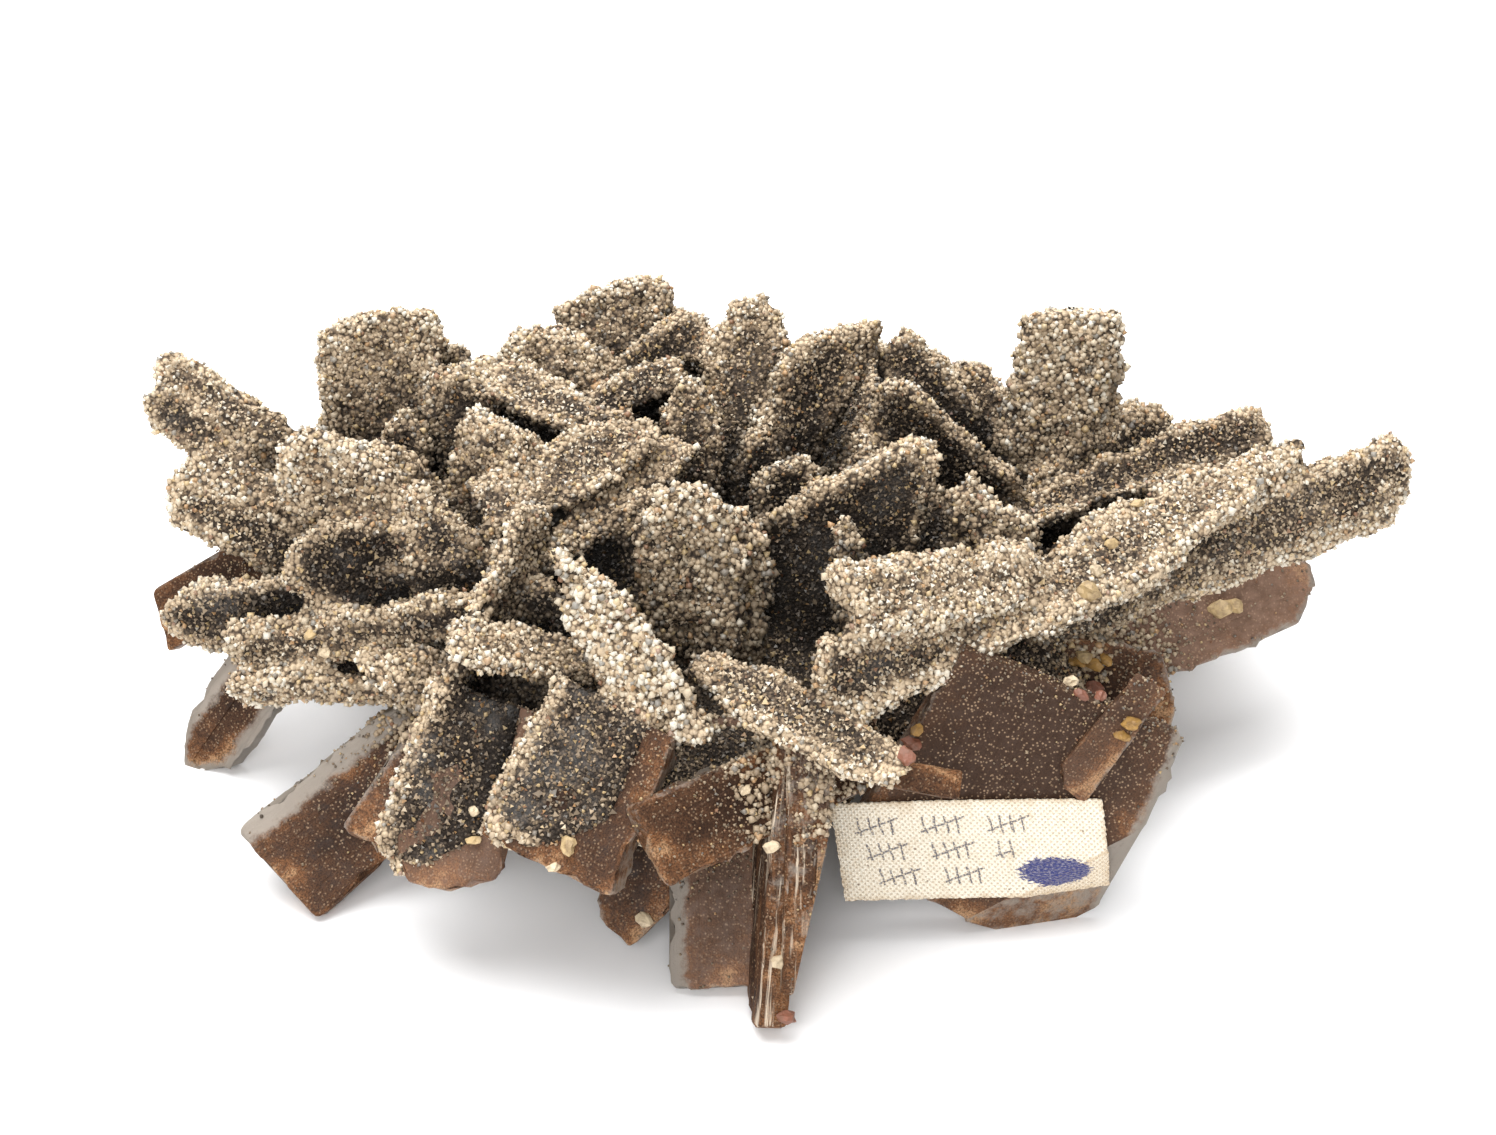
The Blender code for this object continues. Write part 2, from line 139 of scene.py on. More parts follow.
def cut_slab(outline, length, width, thick, cell, layers):
    """A slab in its own axes, cut along each side of its outline: X from root to tip, Z out of its face."""
    bpy.ops.object.select_all(action="DESELECT")
    bpy.ops.mesh.primitive_grid_add(
        x_subdivisions=max(2, round(length / cell)), y_subdivisions=max(2, round(width / cell)), size=1)
    slab = bpy.context.object
    slab.scale = (length + SPARE, width + SPARE, 1)
    slab.location = ((length + SPARE) / 2, 0, -thick / 2)
    bpy.ops.object.transform_apply()
    bpy.ops.object.mode_set(mode="EDIT")
    bpy.ops.mesh.select_all(action="SELECT")
    for _ in range(layers):
        bpy.ops.mesh.extrude_region_move(TRANSFORM_OT_translate={"value": (0, 0, thick / layers)})
    bpy.ops.mesh.select_all(action="SELECT")
    bpy.ops.mesh.normals_make_consistent(inside=False)
    head = min(length, HEAD_LENGTHS.get(outline, HEAD_LENGTH) * width)
    root_half = ROOT_SHARES.get(outline, ROOT_SHARE) * width / 2
    corners = [(0.0, -root_half)]
    corners += [(length - (1 - share) * head, side * width / 2) for share, side in OUTLINES[outline]]
    corners += [(0.0, root_half)]
    for (x1, y1), (x2, y2) in zip(corners, corners[1:]):
        bpy.ops.mesh.select_all(action="SELECT")
        outward = Vector((y2 - y1, x1 - x2, 0)).normalized()
        bpy.ops.mesh.bisect(plane_co=(x1, y1, 0), plane_no=outward, use_fill=True, clear_outer=True)
    bpy.ops.object.mode_set(mode="OBJECT")
    put_in_order(slab.data)
    return slab, corners


def stand_slab(slab, tip, root, looks, buried):
    """Turns a slab from its own axes to its place in the cluster."""
    along = (Vector(tip) - Vector(root)).normalized()
    out = Vector(looks).normalized()
    out = (out - along * out.dot(along)).normalized()
    start = Vector(root) + MOVED - along * buried
    turned = Matrix((along, out.cross(along), out)).transposed().to_4x4()
    slab.matrix_world = Matrix.Translation(start) @ turned
    select_only(slab)
    bpy.ops.object.transform_apply()


def cut_off(slab, point, outward):
    """Cuts off what lies beyond a plane."""
    outward = Vector(outward).normalized()
    if max((vert.co - Vector(point)).dot(outward) for vert in slab.data.vertices) > 0:
        bpy.ops.object.mode_set(mode="EDIT")
        bpy.ops.mesh.select_all(action="SELECT")
        bpy.ops.mesh.bisect(plane_co=point, plane_no=outward, use_fill=True, clear_outer=True)
        bpy.ops.object.mode_set(mode="OBJECT")


def side_distance(x, y, start, end):
    """How far a point lies inside the side of an outline that runs from start to end."""
    run_x, run_y = end[0] - start[0], end[1] - start[1]
    return ((y - start[1]) * run_x - (x - start[0]) * run_y) / math.hypot(run_x, run_y)


crystals = []
crystal_rng = random.Random(5)


def grow(tip, root, looks, width, thick, outline, buried=14.0, clear=(0.5, 0.5, 0.4), sandy=None, layers=1,
         ridged=0.0, steps=(), striped=0.0, milky=0.0, facet=None):
    """One bare crystal, from its tip to its root, with one face the way it looks.

    Clear is how wide its clear edges are on its left, its right and at its tip, sandy how much sand lies on
    it at a distance from the tip, a place across it and a height. Steps are the parts of its face that lie
    lower, and facet is one plane more that cuts it.
    """
    length = (Vector(tip) - Vector(root)).length + buried
    crystal, corners = cut_slab(outline, length, width, thick, CELL, layers)
    bpy.ops.object.mode_set(mode="EDIT")
    bpy.ops.mesh.select_all(action="SELECT")
    bpy.ops.mesh.remove_doubles(threshold=SHORTEST)
    for from_tip, to_tip, from_side, to_side, depth in steps:
        bpy.ops.mesh.select_all(action="DESELECT")
        bpy.ops.object.mode_set(mode="OBJECT")
        for face in crystal.data.polygons:
            x, y = length - face.center.x, face.center.y / (width / 2)
            face.select = face.normal.z > 0.9 and from_tip < x < to_tip and from_side < y < to_side
        bpy.ops.object.mode_set(mode="EDIT")
        bpy.ops.mesh.extrude_region_move(TRANSFORM_OT_translate={"value": (0, 0, -depth)})
    bpy.ops.mesh.select_mode(type="EDGE")
    bpy.ops.mesh.select_all(action="DESELECT")
    bpy.ops.mesh.edges_select_sharp(sharpness=SHARP)
    bevel = RIM_BEVEL * min(thick, BEVELLED_THICK) * (STEPPED_BEVEL if steps else 1)
    bpy.ops.mesh.bevel(offset=bevel, segments=2, affect="EDGES")
    bpy.ops.mesh.select_mode(type="VERT")
    bpy.ops.object.mode_set(mode="OBJECT")
    mesh = crystal.data
    offset = Vector([crystal_rng.uniform(-NOISE_SPREAD, NOISE_SPREAD) for _ in range(3)])
    count = len(mesh.vertices)
    places, depths, sand = np.zeros((count, 3)), np.zeros(count), np.zeros(count)
    sides = list(zip(corners, corners[1:]))
    for i, vert in enumerate(mesh.vertices):
        x, y, z = vert.co
        places[i] = length - x, y, z
        left = side_distance(x, y, *sides[0]) - clear[0]
        right = side_distance(x, y, *sides[-1]) - clear[1]
        end = min(side_distance(x, y, *side) for side in sides[1:-1]) - clear[2]
        depths[i] = min(left, right, end)
        sand[i] = sandy(length - x, y / (width / 2), z) if sandy else 0
        wave = WAVY * noise.noise(vert.co * WAVES + offset)
        inside = min(side_distance(x, y, *side) for side in sides)
        chip = CHIPPED * max(0.0, 1 - inside / CHIP_REACH) * max(0.0, noise.noise(vert.co * CHIPS + offset))
        vert.co.y -= chip * y / (width / 2)
        vert.co.x -= chip * x / length
        run = x * RIDGE_RUN
        side = ridged * noise.noise(Vector((run, 0, z * SIDE_RIDGES)) + offset) * math.copysign(1, y)
        face = ridged * noise.noise(Vector((run, y * FACE_RIDGES, 0)) + offset) * math.copysign(1, z)
        vert.co.z += wave + (face if abs(z) > thick / 2 - FACE_DEPTH else 0)
        vert.co.y += wave + (side if abs(y) > width / 2 - SIDE_DEPTH else 0)
    keep_values(mesh, "crystal_place", places, "FLOAT_VECTOR")
    keep_values(mesh, "brown_depth", depths)
    keep_values(mesh, "sand_share", sand)
    keep_values(mesh, "striped", np.full(count, striped))
    keep_values(mesh, "milky", np.full(count, milky))
    stand_slab(crystal, tip, root, looks, buried)
    cut_off(crystal, (0, 0, 0), (0, 0, -1))
    if facet:
        cut_off(crystal, *facet)
    crystals.append(crystal)


def near_root(reach, least=0.02):
    """Sand that thins out from the root to its least at this distance from the tip."""
    return lambda x, y, z: least + max(0.0, min(1.0, (x - reach) / SAND_FADE)) ** 1.5


# The left end and the front, from left to right
grow((-80, 2, 14.5), (-66, 4, 23), (-0.2, -0.8, 0.5), 8, 3.0, "skewed", 22, clear=(0.5, 0.4, 0.5),
     sandy=near_root(9))
grow((-75.5, -8, -1.5), (-66, -6, 12), (-0.3, -0.8, 0.5), 9.5, 2.8, "spear", 24, clear=(2.6, 2.2, 1.5),
     sandy=near_root(13), steps=[(2, 16, -0.1, 0.75, 0.35)])
grow((-60.5, -34, 3.5), (-43, -22, 13.5), (0.1, -0.7, 0.7), 14.5, 3.6, "plate", 18, clear=(3.2, 0.0, 0.0),
     sandy=near_root(11, 0.05))
grow((-48.5, -41, 15.5), (-45, -36, 19), (-0.3, -0.8, 0.5), 5, 2.4, "plate", 7, clear=(1.0, 0.2, 0.3),
     sandy=near_root(3))
grow((-17.5, -44, 1.5), (-16.5, -36, 15), (-0.1, -1, 0.2), 10, 3.0, "spear", clear=(0.3, 0.4, 0.5),
     sandy=near_root(8, 0.06))
grow((-15.5, -51, 23), (-1, -42, 24), (0, -0.8, 0.5), 10, 3.0, "plate", clear=(0.5, 0.2, 0.3),
     sandy=near_root(4, 0.12))
grow((-7, -50, 0.5), (-7.5, -38, 13), (-0.1, -1, 0.4), 12, 3.2, "plate", clear=(2.6, 0.4, 0.5),
     sandy=near_root(8, 0.05), milky=0.3)

# Three crystals that stand edge on to the front, the tallest with its tip on the ground. Together they
# narrow towards it.
KEEL_FACET = ((5.6, -46.9, 23.0), (0.97, 0, -0.24))
grow((-3, -50, -2.5), (-0.5, -35, 26), (-1, -0.2, 0), 20, 3.4, "keel", 2, clear=(-1.5, 0.3, -0.5),
     layers=7, ridged=0.55, sandy=near_root(20), striped=1.0)
grow((0.5, -48.5, 1), (1.5, -35, 26), (-1, -0.1, 0), 21, 3.2, "keel", 2, clear=(-1.5, 0.3, -0.5),
     layers=7, ridged=0.6, sandy=near_root(18), striped=0.8, facet=KEEL_FACET)
grow((3.6, -46, 7), (4.2, -35, 26), (-1, 0.1, 0), 20, 3.4, "keel", 2, clear=(-1, 0.3, 0.2), layers=5,
     ridged=0.3, sandy=near_root(5, 0.3), striped=0.3, facet=KEEL_FACET)

# The plate under the label, and what lies on and beside it
grow((20, -39, 1), (30, -33.5, 23), (0, -1, 0.25), 33, 4, "skewed", 8, clear=(0.4, 1.8, 0.3),
     sandy=near_root(27, 0.03), milky=0.08, facet=((27.3, -38.7, 5.9), (0.212, -0.968, -0.131)))
grow((47, -22, 18), (31, -18, 21), (0.1, -0.9, 0.4), 15, 3.4, "blunt", 8, clear=(0.5, 0.5, 0.7),
     sandy=near_root(2, 0.25))
grow((32.6, -36.7, 18.9), (40.2, -34.0, 30.0), (0, -1, 0.25), 5.2, 1.3, "skewed", 3,
     clear=(-0.6, 0.6, -0.6), sandy=near_root(9, 0.05), milky=0.12)
grow((20, -41.5, 24), (6, -42, 27.5), (0, -0.7, 0.7), 3.4, 1.6, "plate", 6, clear=(-0.6, -0.6, -0.6))
grow((67.5, 4, 21.5), (44, -6, 19), (0, -0.8, 0.5), 13, 3.4, "round", 18, clear=(0.4, 1.4, 1.2),
     sandy=near_root(14, 0.10), milky=0.65)

# The back and its feet
grow((-54, 33, 3), (-36, 20, 12), (-0.1, 0.7, 0.7), 14, 3.8, "plate", clear=(0.5, 3.0, 0.5),
     sandy=near_root(10))
grow((-31, 47, -2.5), (-24, 28, 15), (0, 1, 0.3), 13, 3.6, "skewed", clear=(2.4, 0.4, 0.5),
     sandy=near_root(12))
grow((-9, 50, 5), (-8, 32, 14), (0, 0.8, 0.6), 15, 3.6, "plate", clear=(0.6, 2.2, 0.8), sandy=near_root(9))
grow((13, 48, -2.5), (8, 30, 15), (0.1, 1, 0.3), 13, 3.6, "blunt", clear=(2.0, 0.4, 0.5),
     sandy=near_root(12))
grow((36, 42, 3), (26, 26, 12), (0.1, 0.8, 0.6), 14, 3.8, "plate", clear=(0.5, 2.6, 0.6),
     sandy=near_root(9))
grow((56, 27, -2.5), (40, 14, 14), (0.3, 0.8, 0.4), 12, 3.6, "skewed", clear=(0.6, 1.8, 0.5),
     sandy=near_root(10))


# Two crystals of the front that are half in the sand: crusted on their left and bare on their lower right
def left_crust(x, y, z):
    """Sand that is thick on the left rim, thin in the middle and gone on the lower right."""
    rim = max(0.0, min(1.0, (-y - 0.62) / 0.2))
    face = max(0.0, min(1.0, (x - 5 - 7 * y) / 9))
    return max(rim, 0.55 * face)


grow((-40, -46, 12.5), (-33.5, -32, 29), (-0.2, -0.8, 0.5), 14.5, 4.0, "blunt", 0, clear=(0.3, 0.2, 0.2),
     sandy=left_crust, milky=0.3)
grow((-26.5, -50, 19), (-18, -38, 31.5), (-0.2, -0.8, 0.5), 16.5, 4.0, "plate", 0, clear=(0.3, 0.6, 0.2),
     sandy=left_crust)


class Socket:
    """A shader output that can be used in Python sums."""

    def __init__(self, finish, output):
        self.finish = finish
        self.output = output

    def __add__(self, other):
        return self.finish.maths("ADD", self, other)

    def __sub__(self, other):
        return self.finish.maths("SUBTRACT", self, other)

    def __rsub__(self, other):
        return self.finish.maths("SUBTRACT", other, self)

    def __mul__(self, other):
        return self.finish.maths("MULTIPLY", self, other)

    def __truediv__(self, other):
        return self.finish.maths("DIVIDE", self, other)

    __radd__ = __add__
    __rmul__ = __mul__

    def clamped(self):
        return self.finish.maths("ADD", self, 0.0, clamp=True)

    def ramp_up(self, low, high):
        """0 below low, 1 above high and smooth between them."""
        return self.finish.node(
            "ShaderNodeMapRange", {"interpolation_type": "SMOOTHSTEP"},
            {"Value": self, "From Min": low, "From Max": high, "To Min": 0.0, "To Max": 1.0})

    def ramp_down(self, low, high):
        return 1 - self.ramp_up(low, high)


class Finish:
    """A material, built one node at a time."""

    def __init__(self, name):
        self.material = bpy.data.materials.new(name)
        self.material.use_nodes = True
        self.tree = self.material.node_tree
        self.tree.nodes.clear()

    def node(self, kind, settings=None, sockets=None, output=0):
        made = self.tree.nodes.new(kind)
        for setting, value in (settings or {}).items():
            if setting == "stops":
                ramp = made.color_ramp
                while len(ramp.elements) < len(value):
                    ramp.elements.new(0.5)
                for element, (at, colour) in zip(ramp.elements, value):
                    element.position = at
                    element.color = (*colour, 1)
            elif setting == "ramp":
                made.color_ramp.interpolation = value
            else:
                setattr(made, setting, value)
        for name, value in (sockets or {}).items():
            if isinstance(value, Socket):
                self.tree.links.new(value.output, made.inputs[name])
            else:
                made.inputs[name].default_value = value
        return Socket(self, made.outputs[output])

    def maths(self, operation, first, second=0.5, clamp=False):
        return self.node("ShaderNodeMath", {"operation": operation, "use_clamp": clamp},
                         {0: first, 1: second})

    def attribute(self, name, output=2):
        return self.node("ShaderNodeAttribute", {"attribute_name": name}, output=output)

    def noise(self, vector, scale, detail, roughness):
        return self.node("ShaderNodeTexNoise", None,
                         {"Vector": vector, "Scale": scale, "Detail": detail, "Roughness": roughness})

    def stretched(self, vector, factors):
        return self.node("ShaderNodeVectorMath", {"operation": "MULTIPLY"}, {0: vector, 1: factors})

    def mixed(self, share, first, second):
        """Two colours mixed by a share of the second."""
        pair = [(*colour, 1) if isinstance(colour, tuple) else colour for colour in (first, second)]
        return self.node("ShaderNodeMix", {"data_type": "RGBA"}, {0: share, 6: pair[0], 7: pair[1]},
                         output=2)

    def colours(self, value, stops, ramp="LINEAR"):
        return self.node("ShaderNodeValToRGB", {"stops": stops, "ramp": ramp}, {"Fac": value})

    def bump(self, height, distance):
        return self.node("ShaderNodeBump", None, {"Height": height, "Distance": distance, "Strength": 1.0})

    def shown(self, shader):
        made = self.tree.nodes.new("ShaderNodeOutputMaterial")
        self.tree.links.new(shader.output, made.inputs["Surface"])
        return self.material


SOOTY = (0.013, 0.007, 0.0045)
CHOCOLATE = (0.034, 0.0165, 0.0095)
BROWN = (0.082, 0.039, 0.0205)
RUST = (0.19, 0.084, 0.036)
PALE_BROWN = (0.36, 0.205, 0.105)
FROSTED = (0.33, 0.285, 0.24)
MILKY = (0.36, 0.225, 0.16)
SPECK = (0.37, 0.25, 0.155)
STRIA = (0.72, 0.60, 0.46)
CLEAR_TINT = (0.62, 0.53, 0.45, 1)

hourglass = Finish("hourglass_gypsum")
grain_place = hourglass.attribute("crystal_place", output=1)
from_tip = hourglass.node("ShaderNodeSeparateXYZ", None, {"Vector": grain_place})
depth = hourglass.attribute("brown_depth")
striped = hourglass.attribute("striped")
milky = hourglass.attribute("milky")
ragged = hourglass.noise(grain_place, 0.5, 5, 0.7)
brown_share = (depth + (ragged - 0.5) * 3.2).ramp_up(-1.35, -0.05)
drift = hourglass.noise(grain_place, 0.13, 3, 0.6)
cloud = hourglass.noise(grain_place, 0.7, 5, 0.75)
fine = hourglass.noise(grain_place, 4.5, 3, 0.7)
depth_tone = (depth * 0.10 + from_tip * 0.012 + (drift - 0.5) * 1.3 + (cloud - 0.5) * 0.9 + 0.08).clamped()
brown = hourglass.colours(depth_tone, [(0.0, PALE_BROWN), (0.10, RUST), (0.34, BROWN), (0.72, CHOCOLATE)])
specks = hourglass.node("ShaderNodeTexVoronoi", {"feature": "F1"}, {"Vector": grain_place, "Scale": 2.3})
speck_share = (specks.ramp_down(0.20, 0.36) * cloud.ramp_up(0.30, 0.52)
               * (0.45 + from_tip.ramp_up(3.0, 16.0) * 0.40))
brown = hourglass.mixed(speck_share, brown, SPECK)
brown = hourglass.mixed(fine.ramp_up(0.42, 0.62) * 0.7, brown, SOOTY)
striae = hourglass.noise(hourglass.stretched(grain_place, (0.05, 1.6, 1.6)), 1.3, 3, 0.6)
streaks = hourglass.noise(hourglass.stretched(grain_place, (0.05, 0.5, 1.3)), 1.0, 3, 0.75)
brown = hourglass.mixed(milky * (0.45 + cloud.ramp_up(0.3, 0.7) * 0.4), brown, MILKY)
brown = hourglass.mixed(striped * streaks.ramp_up(0.54, 0.68) * 0.8, brown, STRIA)
brown = hourglass.mixed(striped * streaks.ramp_down(0.36, 0.48) * 0.4, brown, RUST)
surface = hourglass.mixed(brown_share, FROSTED, brown)
cleavage = hourglass.node("ShaderNodeTexVoronoi", {"feature": "DISTANCE_TO_EDGE"},
                          {"Vector": hourglass.stretched(grain_place, (0.035, 0.17, 0.0)), "Scale": 1.0})
relief = hourglass.bump(striae * 0.5 + fine * 0.25 + cleavage.ramp_up(0.0, 0.03) * 0.25, 0.25 * MM)
sandy_gypsum = hourglass.node("ShaderNodeBsdfPrincipled", None, {
    "Base Color": surface, "Roughness": (0.34 + fine * 0.3), "Normal": relief, "IOR": 1.52,
    "Specular IOR Level": 0.09, "Coat Weight": cloud.ramp_up(0.4, 0.8) * 0.14, "Coat Roughness": 0.12})
clear_gypsum = hourglass.node("ShaderNodeBsdfPrincipled", None, {
    "Base Color": CLEAR_TINT, "Roughness": 0.30, "Normal": relief, "IOR": 1.40, "Transmission Weight": 1.0})
hourglass_gypsum = hourglass.shown(
    hourglass.node("ShaderNodeMixShader", None,
                   {0: 0.60 + brown_share * 0.40, 1: clear_gypsum, 2: sandy_gypsum}))

bare_crystals = joined(crystals, "bare_crystals")
bare_crystals.scale = (MM, MM, MM)
bpy.ops.object.transform_apply()
bpy.ops.object.shade_smooth_by_angle(angle=SMOOTH)
bare_crystals.data.materials.append(hourglass_gypsum)
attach(bare_crystals, "root")

# The sandy blades: crystals that grew up through loose sand and hold it on every face. The sand swells
# into knobs along their rims and is thin on their broad faces, and their roots meet in rough lumps.

SANDY_CELL = 1.4
RIM_WIDTHS = (1.2, 3.0)
RIM_SHARE = 0.21
RIM_MORE = 0.3
EDGE_THICK = 0.60
EDGE_SWELL = 0.5
EDGE_REACH = 1.2
DISHED = 0.38
DISH_REACH = 2.4
THINNER = 0.88
WARP = 0.8
WARP_SIZE = 5.0
WARP_SEED = 42
VOXEL = 0.62 * MM
SKIN_TRIANGLES = 190000
SUNK = 0.30
LOWEST = 0.05
RIM_KNOB = 2.6
RIM_KNOB_HEIGHT = 0.8
FACE_KNOB = 1.5
FACE_KNOB_HEIGHT = 0.45
NOTCH = 5.0
NOTCH_DEPTH = 1.7
PIT = 1.6
PIT_DEPTH = 1.3
LEDGE_BACK = 0.8
LEDGE_SHORTER = 0.12
LEDGE_ASIDE = 0.22

OUTLINES |= {
    "bar": [(0.4, -0.95), (0.85, -1.0), (0.97, -0.75), (1.0, -0.1), (0.95, 0.55), (0.86, 0.97), (0.4, 1.0)],
    "lens": [(0.4, -1.0), (0.72, -0.85), (1.0, -0.05), (0.75, 0.75), (0.45, 1.0)],
    "lance": [(0.58, -1.0), (0.82, -0.68), (1.0, -0.05), (0.86, 0.55), (0.6, 1.0)],
    "leaf": [(0.6, -1.0), (0.88, -0.65), (1.0, -0.1), (0.92, 0.45), (0.68, 1.0)],
    "rising": [(0.4, -1.0), (0.96, -1.0), (1.0, -0.85), (0.9, -0.2), (0.76, 0.55), (0.64, 1.0)],
    "falling": [(0.64, -1.0), (0.76, -0.55), (0.9, 0.2), (1.0, 0.85), (0.96, 1.0), (0.4, 1.0)],
    "taper": [(0.42, -1.0), (0.80, -0.62), (0.985, -0.3), (1.0, 0.0), (0.84, 0.5), (0.42, 1.0)],
    "left_crust": [(0.72, -1.0), (0.95, -0.9), (1.0, -0.5), (0.94, 0.2), (0.62, 1.0)],
    "tongue": [(0.35, -1.0), (0.80, -0.88), (0.97, -0.58), (1.0, 0.0), (0.94, 0.6), (0.76, 0.92),
               (0.35, 1.0)],
    "block": [(0.35, -0.97), (0.93, -1.0), (0.99, -0.85), (1.0, -0.2), (0.975, 0.4), (0.91, 0.97),
              (0.35, 0.97)],
}
HEAD_LENGTHS |= {"taper": 4.5, "lens": 3.4, "tongue": 3.4}
ROOT_SHARES |= {"lens": 0.3, "tongue": 0.35, "taper": 0.25}
ONE_SIDED = ("left_crust",)

